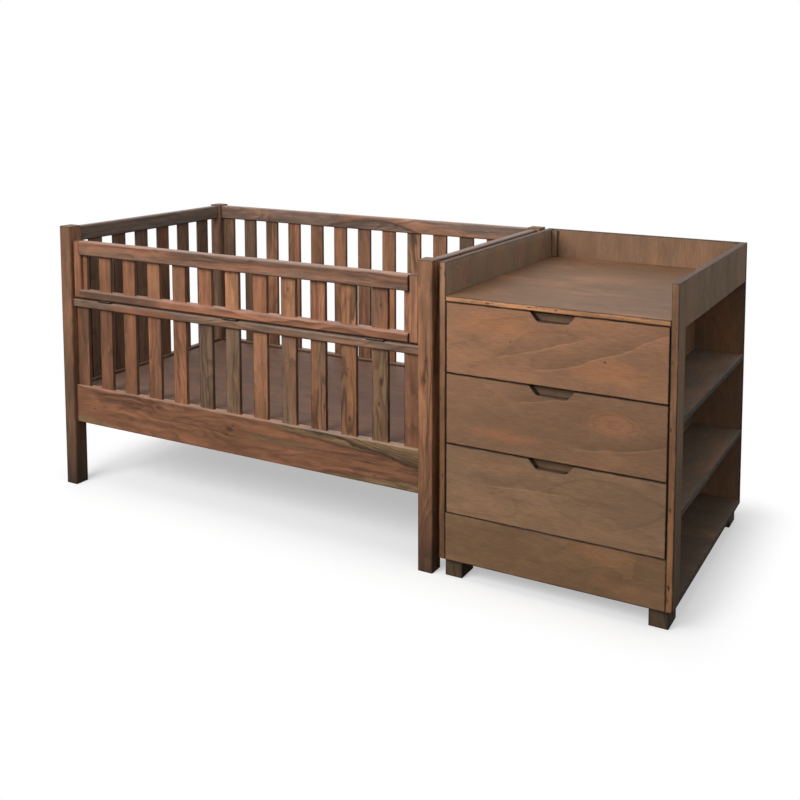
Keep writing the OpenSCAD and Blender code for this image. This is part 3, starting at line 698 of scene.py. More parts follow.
@dataclass(frozen=True)
class Veneer(Finish):
    """A face of the dresser: stained plywood, soft clouds, faint contour lines and dark, chipped rims."""

    gloss: float = 0.56
    shine: float = 0.3
    grain: Grain = Grain.X
    thin: Grain = Grain.Y
    face: Tint = Tint(162, 119, 84)
    cloud: Tint = Tint(146, 114, 82)
    warm: Tint = Tint(176, 118, 78)
    seed: int = 0
    contour: float = 0.16
    figure: float = 0.5
    patches: tuple[Patch, ...] = ()
    knots: tuple[Knot, ...] = ()
    seams: tuple[Border, ...] = ()
    rim_depth: float = 0.75

    # How far apart two sheets are cut, in metres, and how the contour lines and knots are drawn
    apart = 2.371
    contours = 11.0
    contour_thinness = 9.0
    knot_stretch = 1.6
    seam_thinness = -250000.0

    # The noises, from the broadest to the finest
    BROAD = Noise(1.5, 3.4, 1.5)
    PATCHY = Noise(1.3, 4.6, 1.0, shift=9.0)
    CLOUD = Noise(3.0, 7.0, 3.0, 0.55, 5.0)
    MOTTLE = Noise(9.0, 24.0, 4.0, 0.62)
    SMEAR = Noise(4.0, 40.0, 3.0, 0.55, 17.0)
    BITE = Noise(24.0, 70.0)
    FIBRE = Noise(26.0, 300.0, 3.0, 0.65)
    PORE = Noise(60.0, 1000.0, 1.0)

    # The coats, in the order that they are laid in
    CLOUDED = Coat(0.38, 0.62)
    WARMED = Coat(0.50, 0.68, 0.35)
    SEAM_LINE = Coat(0.0, 1.0, 0.5, 1.18)
    SEAM_SHADOW = Coat(0.0, 0.003, 0.40, 0.68)
    DARK_MOTTLE = Coat(0.42, 0.66, 0.42, 0.72)
    PALE_MOTTLE = Coat(0.52, 0.72, 0.36, 1.16)
    SMEARED = Coat(0.50, 0.74, 0.40, 0.66)
    DARK_FIBRE = Coat(0.42, 0.70, 0.28, 0.64)
    PALE_FIBRE = Coat(0.50, 0.74, 0.20, 1.22)
    PORED = Coat(0.60, 0.72)
    WORN = Coat(0.42, 0.98, 0.8, 0.40)
    CHIPPED = Coat(1.00, 1.10, 1.0, 0.8)

    def warmth(self, spot: Spot, cloud: Value, mottle: Value) -> tuple[Value, Value]:
        """Finds the warm clouds and patches, and the contour lines.

        Args:
            spot: the point's place in the board.
            cloud: the noise of the soft clouds.
            mottle: the noise of the small ones.

        Returns:
            How warm the point is, and how much of a contour line lies on it.
        """
        place = spot.moved(self.seed * self.apart)
        rings = (self.BROAD.at(place) * self.contours + mottle * 0.22).fraction()
        lines = (rings ** self.contour_thinness) * self.PATCHY.at(place).rise(0.46, 0.62)
        heat = self.WARMED.over(1.0 - cloud)
        for patch in self.patches:
            span = patch.span(spot) + (mottle - 0.5) * 0.7
            heat = ((1.0 - span.rise(-0.1, 1.3)) * 0.7).most(heat)
            if patch.rings:
                ringed = (span * 2.3).fraction() ** 5.0 * (1.0 - span.rise(0.5, 2.4))
                lines = (ringed * patch.rings).most(lines)
        return heat, lines

    def seamed(self, colour: Value, spot: Spot, waver: Value) -> Value:
        """Draws the sheet's seams: a pale line with a shadow above it.

        Args:
            colour: the colour under them.
            spot: the point's place in the board.
            waver: how far a seam is off its line there, in metres.

        Returns:
            The colour with the seams.
        """
        nodes = spot.nodes
        for seam in self.seams:
            gap = seam.gap(spot) + waver
            near = seam.reach(spot)
            line = (gap * gap * self.seam_thinness).exponent() * near * self.SEAM_LINE.share
            above = self.SEAM_SHADOW.over(gap) * (1.0 - gap.rise(0.003, 0.05)) * near
            colour = nodes.mix(line, colour, self.SEAM_LINE.paint(self.face))
            colour = nodes.mix(above, colour, self.SEAM_SHADOW.paint(self.face))
        return colour

    def look(self, nodes: Nodes, rim: Value) -> Look:
        """Colours the veneer from the point's place on the board, and then its rims.

        Args:
            nodes: the writer of the material's nodes.
            rim: 1 along the board's edges and 0 away from them.

        Returns:
            What the finish gives the point.
        """
        spot = board_spot(nodes, self.grain, self.thin)
        place = spot.moved(self.seed * self.apart)
        cloud, mottle = self.CLOUD.at(place), self.MOTTLE.at(place)
        smear, fibre = self.SMEAR.at(place), self.FIBRE.at(place)
        pores = self.PORED.over(self.PORE.at(place))
        heat, lines = self.warmth(spot, cloud, mottle)
        colour = nodes.mix(self.CLOUDED.over(cloud), self.face, self.cloud)
        colour = nodes.mix(heat, colour, self.warm)
        colour = nodes.mix(lines * self.contour * 2.0, colour, self.face.scaled(0.62))
        colour = self.seamed(colour, spot, (cloud - 0.5) * 0.05 + (mottle - 0.5) * 0.010)
        colour = nodes.coats(colour, (
            (self.DARK_MOTTLE.thinned(self.figure), mottle, self.face),
            (self.PALE_MOTTLE.thinned(self.figure), 1.0 - mottle, self.face),
            (self.SMEARED.thinned(self.figure), smear, self.face),
            (self.DARK_FIBRE, fibre, self.face), (self.PALE_FIBRE, 1.0 - fibre, self.face)))
        colour = nodes.mix(pores * 0.26, colour, CHIP)
        for knot in self.knots:
            inside = knot.span(spot, self.knot_stretch).rise(0.2, 1.2) * -0.8 + 0.8
            colour = nodes.mix(inside, colour, KNOT)
        chip = self.CHIPPED.over(rim * 0.60 + replace(self.BITE, shift=float(self.seed)).at(spot))
        worn = self.WORN.thinned(self.rim_depth)
        colour = nodes.coats(colour, ((worn, rim + (mottle - 0.5), self.face),))
        colour = nodes.mix(chip * self.rim_depth, colour, self.CHIPPED.paint(CHIP))
        return Look(colour, (fibre - 0.5) * 0.12 + (mottle - 0.5) * 0.10 + chip * 0.2,
                    0.6 - pores * 0.35 - lines * 0.1 + fibre * 0.2 - chip * 0.4)


@dataclass(frozen=True)
class PlyEdge(Finish):
    """The sawn edge of plywood: thin layers, by turns light and dark."""

    across: Grain = Grain.X
    light: Tint = Tint(178, 146, 110)
    dark: Tint = Tint(112, 82, 58)
    layer: float = 0.0022
    waver = 0.0006
    WAVER = Noise(40.0, 40.0)
    FIBRE = Noise(420.0, 420.0, 3.0, 0.6)
    DARK_FIBRE = Coat(0.45, 0.75, 0.4, 0.7)
    WORN = Coat(0.7, 1.1, 0.25)

    def look(self, nodes: Nodes, rim: Value) -> Look:
        """Stripes the edge through the board's thickness.

        Args:
            nodes: the writer of the material's nodes.
            rim: 1 along the board's edges and 0 away from them.

        Returns:
            What the finish gives the point.
        """
        place = nodes.coordinates("Object")
        spot = Spot(nodes, *place)
        off = (self.WAVER.at(spot) - 0.5) * self.waver
        bands = ((place[self.across.value] + off) * (math.tau / self.layer)).sine().rise(-0.5, 0.5)
        fibre = self.FIBRE.at(spot)
        colour = nodes.coats(nodes.mix(bands, self.light, self.dark),
                             ((self.DARK_FIBRE, fibre, self.dark), (self.WORN, rim, CHIP)))
        return Look(colour, (fibre - 0.5) * 0.2 + bands * 0.08, bands * -0.4 + fibre * 0.3 + 0.5)


@dataclass(frozen=True)
class BrownedSteel(Finish):
    """Dark browned steel, brushed along its length."""

    gloss: float = 0.46
    shine: float = 0.5
    metal: float = 1.0
    dark: Tint = Tint(66, 58, 52)
    brown: Tint = Tint(94, 82, 72)
    bright: Tint = Tint(128, 116, 104)
    CLOUD = Noise(140.0, 140.0, 3.0, 0.6)
    BRUSH = Noise(60.0, 900.0)
    CLOUDED = Coat(0.35, 0.65)
    BRUSHED = Coat(0.5, 0.8, 0.4)

    def look(self, nodes: Nodes, rim: Value) -> Look:
        """Clouds and brushes the steel.

        Args:
            nodes: the writer of the material's nodes.
            rim: not used, because the steel is the same up to its edges.

        Returns:
            What the finish gives the point.
        """
        spot = Spot(nodes, *nodes.coordinates("Object"))
        cloud, brush = self.CLOUD.at(spot), self.BRUSH.at(spot)
        colour = nodes.coats(self.dark, ((self.CLOUDED, cloud, self.brown),
                                         (self.BRUSHED, brush, self.bright)))
        return Look(colour, (cloud - 0.5) * 0.3 + (brush - 0.5) * 0.1, cloud * 0.6 + brush * 0.3)


def rounded(mesh: bmesh.types.BMesh, edges: Sequence[bmesh.types.BMEdge], radius: float,
            steps: int) -> None:
    """Rounds some edges of a mesh by a radius, in a number of steps."""
    bmesh.ops.bevel(mesh, geom=edges, affect="EDGES", offset=radius, offset_type="OFFSET", segments=steps,
                    profile=0.5, material=-1, clamp_overlap=True)


@dataclass(frozen=True)
class BoardEdge:
    """How a sawn board's edges are broken, in metres."""

    ease: float = 0.0015
    rim: float = 0.005
    steps: int = 3
    sharp: float = math.radians(35)

    def cut(self, mesh: bmesh.types.BMesh, inset: bool = True) -> None:
        """Rounds every sharp edge of the solids in mesh, and marks how near each point is to one.

        Args:
            mesh: closed solids of flat faces.
            inset: whether the faces get an inner loop, between which and the edge the rim fades.
        """
        layer = mesh.verts.layers.float.new(RIM_LAYER)
        inner: set[bmesh.types.BMVert] = set()
        if inset:
            flats = mesh.faces[:]
            bmesh.ops.inset_individual(mesh, faces=flats, thickness=self.rim, use_even_offset=True)
            inner = {v for f in flats for v in f.verts}
        rounded(mesh, [e for e in mesh.edges
                       if e.calc_face_angle(0.0) > self.sharp and not inner.intersection(e.verts)
                       and e.calc_length() > self.ease * 2], self.ease, self.steps)
        for vert in mesh.verts:
            vert[layer] = 0.0 if vert in inner else 1.0
        bmesh.ops.recalc_face_normals(mesh, faces=mesh.faces)
        mesh.normal_update()


def sawn_board(mesh: bmesh.types.BMesh, box: Box) -> list[bmesh.types.BMFace]:
    """Adds a square board to a mesh.

    Args:
        mesh: what the board goes in.
        box: its lowest and highest corners.

    Returns:
        Its six faces.
    """
    low, high = Vector(box[0]), Vector(box[1])
    place = Matrix.Translation((low + high) / 2) @ Matrix.Diagonal((*(high - low), 1.0))
    made = bmesh.ops.create_cube(mesh, size=1.0, matrix=place)
    return list({f for v in made["verts"] for f in v.link_faces})


def copied_solid(node: str, merged: float = 1e-5, flat: float = math.radians(0.5)) -> bmesh.types.BMesh:
    """A copy of a CAD node's mesh with its points merged and its flat faces whole.

    Args:
        node: the node's name.
        merged: how near two points are when they become one.
        flat: the angle up to which two faces become one.

    Returns:
        The copy.
    """
    mesh = bmesh.new()
    mesh.from_mesh(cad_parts[node].data)
    bmesh.ops.remove_doubles(mesh, verts=mesh.verts, dist=merged)
    bmesh.ops.dissolve_limit(mesh, angle_limit=flat, verts=mesh.verts, edges=mesh.edges)
    return mesh


def number_faces(mesh: bmesh.types.BMesh, thin: Grain, square: float = 0.8) -> None:
    """Gives the faces that look through a board's thickness its first material, the rest its second."""
    for face in mesh.faces:
        face.material_index = 0 if abs(face.normal[thin.value]) > square else 1


def node_box(node: str) -> Box:
    """A CAD node's box as two vectors."""
    low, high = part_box(node)
    return Vector(low), Vector(high)


def stored(mesh: bmesh.types.BMesh, name: str) -> bpy.types.Mesh:
    """Stores a finished shape under a name, and frees it."""
    data = bpy.data.meshes.new(name)
    mesh.to_mesh(data)
    mesh.free()
    return data


def placed(name: str, data: bpy.types.ID) -> bpy.types.Object:
    """Puts a mesh, a light or a camera in the scene."""
    item = bpy.data.objects.new(name, data)
    bpy.context.scene.collection.objects.link(item)
    return item


@dataclass
class SubAssembly:
    """What the parts of the furniture share: how a piece is finished, named and hung on its body."""

    body: Body = Body.FRAME
    made: list[str] = field(default_factory=list)
    smooth = math.radians(32)

    def build(self) -> None:
        """Makes and finishes the pieces."""
        raise NotImplementedError

    def report(self) -> None:
        """Tells the log what was made."""
        LOG.info("%s: %s", type(self).__name__, ", ".join(self.made))

    def keep(self, node: str, finish: Finish) -> None:
        """Leaves a CAD node in sight and gives it a finish.

        Args:
            node: the node's name.
            finish: what it is finished with.
        """
        material = finish.material(node_box(node))
        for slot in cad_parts[node].material_slots:
            slot.material = material
        self.made.append(node)

    def keep_wood(self, node: str, **fields: object) -> None:
        """Leaves a CAD node in sight as solid timber, with the given fields of SolidWood."""
        self.keep(node, SolidWood(node.replace("_", " ") + " wood", **fields))

    def hang(self, mesh: bmesh.types.BMesh, name: str, slot: Slot, finishes: Sequence[bpy.types.Material],
             nodes: Sequence[str]) -> None:
        """Turns a finished mesh into a piece on this body.

        Args:
            mesh: the shape, which is freed.
            name: the piece's name.
            slot: not used.
            finishes: its materials, in the order of the faces' numbers.
            nodes: the CAD nodes that it stands for.
        """
        data = stored(mesh, name)
        if "custom_normal" in data.attributes:
            data.attributes.remove(data.attributes["custom_normal"])
        for material in finishes:
            data.materials.append(material)
        data.shade_smooth()
        data.set_sharp_from_angle(angle=self.smooth)
        piece = placed(name, data)
        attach(piece, self.body.value)
        if nodes:
            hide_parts(*nodes)
        self.made.append(name)


@dataclass
class CribPosts(SubAssembly):
    """The four corner posts."""

    rim_depth: float = 0.5
    # How strongly a painted sheen lightens the posts' tops
    bloom: float = 0.15

    def build(self) -> None:
        """Finishes the posts."""
        # Every post gets a painted sheen on its top
        oiled = dict(grain=Grain.Z, rim_depth=self.rim_depth, bloom=self.bloom)
        # The front posts get painted shade towards the floor
        self.keep_wood("post_front_left", seed=1, grime=0.72, grime_reach=0.24,
                       stock=Stock(Tint(141, 100, 73), Tint(126, 93, 68), 0.45, 0.6, 0.35), **oiled)
        self.keep_wood("post_front_right", seed=2, grime=0.76, grime_reach=0.26,
                       stock=Stock(Tint(180, 124, 87), Tint(160, 113, 81), 0.35, 0.8, 0.4),
                       knots=(Knot(0.570, 0.366, 0.003), Knot(0.628, 0.368, 0.002),
                              Knot(0.836, 0.387, 0.002)), **oiled)
        self.keep_wood("post_back_left", seed=3, stock=Timber.OLIVE.value, **oiled)
        self.keep_wood("post_back_right", seed=4, stock=Timber.RUSSET.value, **oiled)


@dataclass
class CribRails(SubAssembly):
    """The rails between the posts."""

    # How strongly a painted sheen lightens the tops of the long rails and of the end rails
    bloom: float = 0.3
    end_bloom: float = 0.12

    def build(self) -> None:
        """Finishes the rails of the two long sides, and then those of the ends."""
        self.front()
        self.keep_wood("back_top_rail", seed=7, bloom=self.bloom,
                       stock=Stock(Tint(168, 120, 91), Tint(127, 102, 88), 0.30, 0.8, 0.6),
                       borders=(Border(-0.20, 0.890, -0.19, -1, 0.8, start=-0.62, bend=-0.84),
                                Border(-0.8, 0.80, 0.0, stop=-0.42)))
        self.keep_wood("back_lower_rail", seed=8, bloom=self.bloom, stock=Timber.DUSK.value)
        dark = Stock(Tint(120, 102, 88), Tint(110, 101, 94), 0.5, 0.9, 0.6)
        ends = (("left_top_rail", dark), ("left_lower_rail", Timber.DUSK.value),
                ("right_top_rail", Timber.DUSK.value), ("right_lower_rail", Timber.RUSSET.value))
        for seed, (node, stock) in enumerate(ends, 9):
            self.keep_wood(node, grain=Grain.Y, seed=seed, stock=stock, bloom=self.end_bloom)

    def front(self) -> None:
        """Finishes the rails below the gate."""
        # The lower rail gets a stronger painted sheen on its top
        self.keep_wood("front_lower_rail", seed=5, bloom=0.35,
                       stock=Stock(Tint(150, 101, 72), Tint(148, 119, 84), 0.10, 0.60, 0.38),
                       knots=(Knot(-0.369, 0.306, 0.010), Knot(-0.355, 0.320, 0.004),
                              Knot(-0.379, 0.289, 0.003), Knot(-0.7955, 0.326, 0.004),
                              Knot(-0.971, 0.284, 0.0035), Knot(-0.675, 0.332, 0.007),
                              Knot(-0.632, 0.309, 0.003), Knot(-0.585, 0.285, 0.002),
                              Knot(0.186, 0.253, 0.0035)),
                       borders=(Border(0.006, 0.3506, -0.100, 1, 0.95, start=-0.12, bend=-0.15),
                                Border(0.006, 0.3307, -0.055, 1, 0.70, start=-0.22, bend=-0.023),
                                Border(-0.0405, 0.2276, 0.075, -1, 0.45, start=-0.3)))
        self.keep_wood("front_middle_rail", seed=6, spacing=0.020, bloom=self.bloom,
                       stock=Stock(Tint(154, 103, 75), Tint(132, 106, 87), 0.95, 0.7, 0.6),
                       patches=(Patch(-0.72, 0.641, 0.165, 0.022), Patch(-0.13, 0.640, 0.10, 0.010)))
        self.keep_wood("hinge_gap_strip", seed=66, stock=Timber.UMBER.value)


@dataclass
class SlatRow(SubAssembly):
    """A row of upright slats, each sawn from its own board.

    The slats are spread evenly over the box of the node that the row is spaced on, and cut off at that of
    their own node.
    """

    node: str = ""
    spaced_on: str = ""
    axis: Grain = Grain.X
    width: float = 0.058
    timbers: tuple[Timber, ...] = ()
    tones: tuple[float, ...] = ()
    knots: tuple[Knot, ...] = ()
    edge: BoardEdge = BoardEdge(0.0022, 0.0042, 3)
    rim_depth: float = 0.85
    seed: int = 30

    def build(self) -> None:
        """Saws the slats and gives each its timber."""
        name = f"{self.node}_eased"
        low, high = node_box(self.node)
        side = self.axis.value
        start, stop = (corner[side] for corner in node_box(self.spaced_on or self.node))
        pitch = (stop - start - self.width) / (len(self.timbers) - 1)
        mesh = bmesh.new()
        layer = mesh.verts.layers.float.new(TONE_LAYER)
        sorts = list(dict.fromkeys(self.timbers))
        for place, (timber, tone) in enumerate(zip(self.timbers, self.tones)):
            first = start + place * pitch
            near, far = low.copy(), high.copy()
            near[side], far[side] = max(low[side], first), min(high[side], first + self.width)
            for face in sawn_board(mesh, (near, far)):
                face.material_index = sorts.index(timber)
                for vert in face.verts:
                    vert[layer] = tone
        self.edge.cut(mesh)
        self.hang(mesh, name, Slot.SLAT, [
            SolidWood(f"{name} {timber.name.lower()}", grain=Grain.Z, stock=timber.value, toned=True,
                      seed=self.seed + number, rim_depth=self.rim_depth, knots=self.knots).material()
            for number, timber in enumerate(sorts)], [self.node])


@dataclass
class MattressDeck(SubAssembly):
    """The board that carries the mattress, with its cleats and bearers."""

    edge: BoardEdge = BoardEdge(0.002, 0.006, 3)
    plain: Stock = Stock(Tint(150, 112, 84), Tint(160, 124, 94), 0.5, 0.3)
    face: Veneer = Veneer("mattress board face", thin=Grain.Z, face=Tint(127, 93, 75),
                          cloud=Tint(115, 88, 73), warm=Tint(130, 93, 74), seed=3, contour=0.1,
                          rim_depth=0.3)

    def build(self) -> None:
        """Makes the board and finishes what carries it."""
        mesh = bmesh.new()
        sawn_board(mesh, node_box("mattress_board"))
        self.edge.cut(mesh)
        self.hang(mesh, "mattress_board_eased", Slot.BOARD, [self.face.material()], ["mattress_board"])
        self.keep_wood("board_cleats", stock=self.plain, seed=41)
        self.keep_wood("board_bearers", grain=Grain.Y, stock=self.plain, seed=42)


@dataclass
class DropGate(SubAssembly):
    """The timber of the gate that folds down."""

    body: Body = Body.GATE

    def build(self) -> None:
        """Finishes the gate's timber."""
        # The gate's rails get a painted sheen on their tops
        self.keep_wood("gate_top_rail", seed=12, spacing=0.030, bloom=0.34,
                       stock=Stock(Tint(152, 103, 76), Tint(134, 100, 80), 0.38, 0.9, 0.8),
                       borders=(Border(-0.35, 0.852, 0.02, 1, 0.6, start=-0.62, stop=0.1),
                                Border(0.14, 0.852, -0.05, -1, 0.5, start=0.02)))
        self.keep_wood("gate_bottom_rail", seed=16, spacing=0.024, swirl=5.0, bloom=0.35,
                       stock=Stock(Tint(171, 114, 83), Tint(112, 79, 60), 0.04, 0.8, 0.7),
                       borders=(Border(-0.8, 0.60, 0.0, stop=-0.62),
                                Border(0.0, 0.712, -0.09, 1, 0.4, start=-0.02, stop=0.14)))
        self.keep_wood("gate_stiles", grain=Grain.Z, seed=14, borders=(Border(0.0, 0.0, 0.0),),
                       stock=Stock(Tint(175, 118, 85), Tint(184, 130, 95), 0.0, 0.5, 0.5))
        self.keep_wood("gate_dowels", stock=Timber.EDGE.value, seed=15)


@dataclass
class Fittings(SubAssembly):
    """The steel fittings, the dowels and the caps over the link bolts."""

    steel: tuple[str, ...] = ("hinge_frame_leaves", "hinge_gate_leaves", "hinge_pins", "latch_plates",
                              "latch_bolt_left", "latch_bolt_right", "frame_screws", "gate_screws",
                              "link_bolts")
    cap_radius: float = 0.0085
    cap_height: float = 0.0014
    cap_columns: tuple[float, ...] = (-0.330, 0.290)
    cap_rows: tuple[float, ...] = (0.891, 0.2915)
    cap_steps: int = 32
    dome: tuple[tuple[float, float], ...] = ((0.55, 0.95), (0.85, 0.78), (1.0, 0.4), (1.0, -0.6))
    wall: float = 0.434

    def build(self) -> None:
        """Finishes the steel and the dowels, and spins the caps."""
        for node in self.steel:
            self.keep(node, BrownedSteel(node.replace("_", " ") + " steel"))
        self.keep_wood("frame_dowels", stock=Timber.EDGE.value, seed=51)
        self.keep_wood("link_spacers", stock=Timber.UMBER.value, seed=52)
        self.caps()

    def caps(self) -> None:
        """Spins a shallow domed cap over each link bolt's head, on the dresser's inner wall."""
        mesh = bmesh.new()
        for z in self.cap_rows:
            for y in self.cap_columns:
                chain = [mesh.verts.new((self.wall + self.cap_height * up, y + self.cap_radius * out, z))
                         for out, up in ((0.0, 1.0), *self.dome)]
                edges = [mesh.edges.new(pair) for pair in zip(chain, chain[1:])]
                bmesh.ops.spin(mesh, geom=chain + edges, cent=(self.wall, y, z), axis=(1.0, 0.0, 0.0),
                               angle=math.tau, steps=self.cap_steps, use_merge=True)
        bmesh.ops.remove_doubles(mesh, verts=mesh.verts, dist=1e-6)
        bmesh.ops.holes_fill(mesh, edges=[e for e in mesh.edges if e.is_boundary], sides=0)
        bmesh.ops.recalc_face_normals(mesh, faces=mesh.faces)
        mesh.verts.layers.float.new(RIM_LAYER)
        finish = Veneer("bolt cap lacquer", grain=Grain.Z, thin=Grain.X, seed=9, contour=0.0, rim_depth=0.0)
        self.hang(mesh, "bolt_caps", Slot.PANEL, [finish.material()], [])


@dataclass(frozen=True)
class Panel:
    """One board of the dresser's carcass.

    The edge's shade is beside that of the edge timber; where it is 0, the edge takes its colours from the
    veneer. A drilled board keeps its faces whole, and takes its rims from its box.
    """

    node: str
    name: str
    grain: Grain
    thin: Grain
    tone: Tint
    edge_shade: float = 0.0
    rim_depth: float = 0.75
    drilled: bool = False

    def materials(self, seed: int) -> list[bpy.types.Material]:
        """Writes the materials of the veneer and of the edges.

        Args:
            seed: what sets the board's figure apart.

        Returns:
            The two materials.
        """
        box = node_box(self.node) if self.drilled else None
        # The side walls get painted shade towards the floor
        grime = dict(grime=0.75, grime_reach=0.5) if self.thin is Grain.X else {}
        face = Veneer(f"{self.name} veneer", grain=self.grain, thin=self.thin, seed=seed, face=self.tone,
                      cloud=self.tone.scaled(0.92), rim_depth=self.rim_depth, **grime)
        stock = (Timber.EDGE.value.shaded(self.edge_shade) if self.edge_shade
                 else Stock(self.tone.scaled(0.74), self.tone.scaled(0.66)))
        band = SolidWood(f"{self.name} edge wood", grain=self.grain, stock=stock, seed=70 + seed,
                         spacing=0.02, specks=0.8, rim_depth=0.9)
        return [face.material(box), band.material(box)]


@dataclass
class DresserCarcass(SubAssembly):
    """The dresser's fixed boards."""

    edge: BoardEdge = BoardEdge(0.0012, 0.0055, 3)
    foot_edge: BoardEdge = BoardEdge(0.0018, 0.006, 3)
    foot_stock: Stock = Stock(Tint(96, 77, 58), Tint(88, 72, 57))
    panels: tuple[Panel, ...] = (
        Panel("dresser_left_side", "left_wall", Grain.Z, Grain.X, Tint(154, 130, 107), 0.83, drilled=True),
        Panel("dresser_right_side", "right_wall", Grain.Z, Grain.X, Tint(153, 128, 104), 0.87),
        Panel("dresser_back", "back_wall", Grain.Z, Grain.Y, Tint(142, 108, 82)),
        Panel("tray_board", "tray", Grain.X, Grain.Z, Tint(126, 92, 65), 1.20),
        Panel("bottom_board", "floor_board", Grain.X, Grain.Z, Tint(108, 92, 76)),
        Panel("kick_board", "plinth", Grain.X, Grain.Y, Tint(134, 102, 74)),
        Panel("partition", "bookcase_wall", Grain.Z, Grain.X, Tint(140, 112, 88)),
        Panel("bookcase_front_wall", "bookcase_front", Grain.Z, Grain.Y, Tint(140, 112, 88)),
        Panel("upper_shelf", "upper_shelf_eased", Grain.Y, Grain.Z, Tint(129, 113, 98)),
        Panel("lower_shelf", "lower_shelf_eased", Grain.Y, Grain.Z, Tint(122, 106, 90)),
        Panel("corner_battens", "corner_battens_eased", Grain.Z, Grain.Y, Tint(148, 116, 90),
              rim_depth=0.35),
    )

    def build(self) -> None:
        """Eases the boards, gives them veneered faces and timber edges, makes the feet and finishes the
        runners.
        """
        for seed, panel in enumerate(self.panels, 1):
            mesh = copied_solid(panel.node)
            self.edge.cut(mesh, inset=not panel.drilled)
            number_faces(mesh, panel.thin)
            self.hang(mesh, panel.name, Slot.PANEL, panel.materials(seed), [panel.node])
        feet = copied_solid("dresser_feet")
        self.foot_edge.cut(feet)
        wood = SolidWood("foot wood", grain=Grain.Z, seed=81, stock=self.foot_stock)
        self.hang(feet, "feet", Slot.PANEL, [wood.material()], ["dresser_feet"])
        self.keep_wood("drawer_runners", grain=Grain.Y, seed=61,
                       stock=Stock(Tint(160, 124, 90), Tint(172, 138, 104), 0.5, 0.2))


@dataclass
class Drawer(SubAssembly):
    """One drawer: a veneered front with a cut-out grip, and a plywood box behind it.

    The grip's corners are the edges that run through the front for more than clear, and lie further than
    that from its two ends.
    """

    number: int = 1
    patches: tuple[Patch, ...] = ()
    knots: tuple[Knot, ...] = ()
    seams: tuple[Border, ...] = ()
    face: Tint = Tint(156, 115, 84)
    warm: Tint = Tint(174, 118, 80)
    figure: float = 0.5
    corner: float = 0.004
    corner_steps: int = 4
    clear: float = 0.01
    edge: BoardEdge = BoardEdge(0.0013, 0.0045, 3)
    box_edge: BoardEdge = BoardEdge(0.0008, 0.0018, 2)

    def build(self) -> None:
        """Makes the front and the box."""
        self.front()
        for part, thin in (("sides", Grain.X), ("ends", Grain.Y), ("bottom", Grain.Z)):
            self.box_part(part, thin)

    def front(self) -> None:
        """Makes the front, with the grip's corners rounded before its rims are eased."""
        node = f"drawer_{self.number}_front"
        mesh = copied_solid(node)
        low, high = node_box(node)
        rounded(mesh, [e for e in mesh.edges
                       if abs(e.verts[0].co.y - e.verts[1].co.y) > self.clear
                       and low.x + self.clear < e.verts[0].co.x < high.x - self.clear],
                self.corner, self.corner_steps)
        self.edge.cut(mesh)
        number_faces(mesh, Grain.Y)
        veneer = Veneer(f"drawer {self.number} veneer", seed=30 + self.number, patches=self.patches,
                        knots=self.knots, seams=self.seams, face=self.face, cloud=self.face.scaled(0.93),
                        warm=self.warm, figure=self.figure, contour=0.22)
        band = Veneer(f"drawer {self.number} front edge", seed=40 + self.number, face=Tint(96, 68, 50),
                      cloud=Tint(84, 62, 46), contour=0.1)
        self.hang(mesh, f"drawer_{self.number}_face", Slot.PANEL, [veneer.material(), band.material()],
                  [node])

    def box_part(self, part: str, thin: Grain) -> None:
        """Makes the sides, the ends or the bottom of the box.

        Args:
            part: the last word of the node's name.
            thin: the direction of its thickness.
        """
        node = f"drawer_{self.number}_{part}"
        mesh = copied_solid(node)
        self.box_edge.cut(mesh)
        number_faces(mesh, thin)
        # The ends are darker than the sides and bottom: a painted shade for the grip's recess, where the
        # front end shows through
        tone = Tint(108, 84, 63) if part == "ends" else Tint(150, 118, 88)
        veneer = Veneer(f"{node} veneer", grain=Grain.Y if part == "sides" else Grain.X, thin=thin,
                        seed=50 + self.number, face=tone, cloud=tone.scaled(0.94), rim_depth=0.25)
        layers = PlyEdge(f"{node} plywood edge", across=thin)
        self.hang(mesh, f"{node}_eased", Slot.DRAWER, [veneer.material(), layers.material()], [node])


@dataclass(frozen=True)
class Lamp:
    """A soft lamp: where it hangs, the point that it faces, its width and height, and its watts."""

    name: str
    place: tuple[float, float, float]
    aim: tuple[float, float, float]
    width: float
    height: float
    power: float

    def hang(self) -> None:
        """Hangs the lamp."""
        data = bpy.data.lights.new(self.name, "AREA")
        data.shape = "RECTANGLE"
        data.size, data.size_y, data.energy = self.width, self.height, self.power
        lamp = placed(self.name, data)
        lamp.location = self.place
        lamp.rotation_euler = (Vector(self.aim) - Vector(self.place)).to_track_quat("-Z", "Y").to_euler()


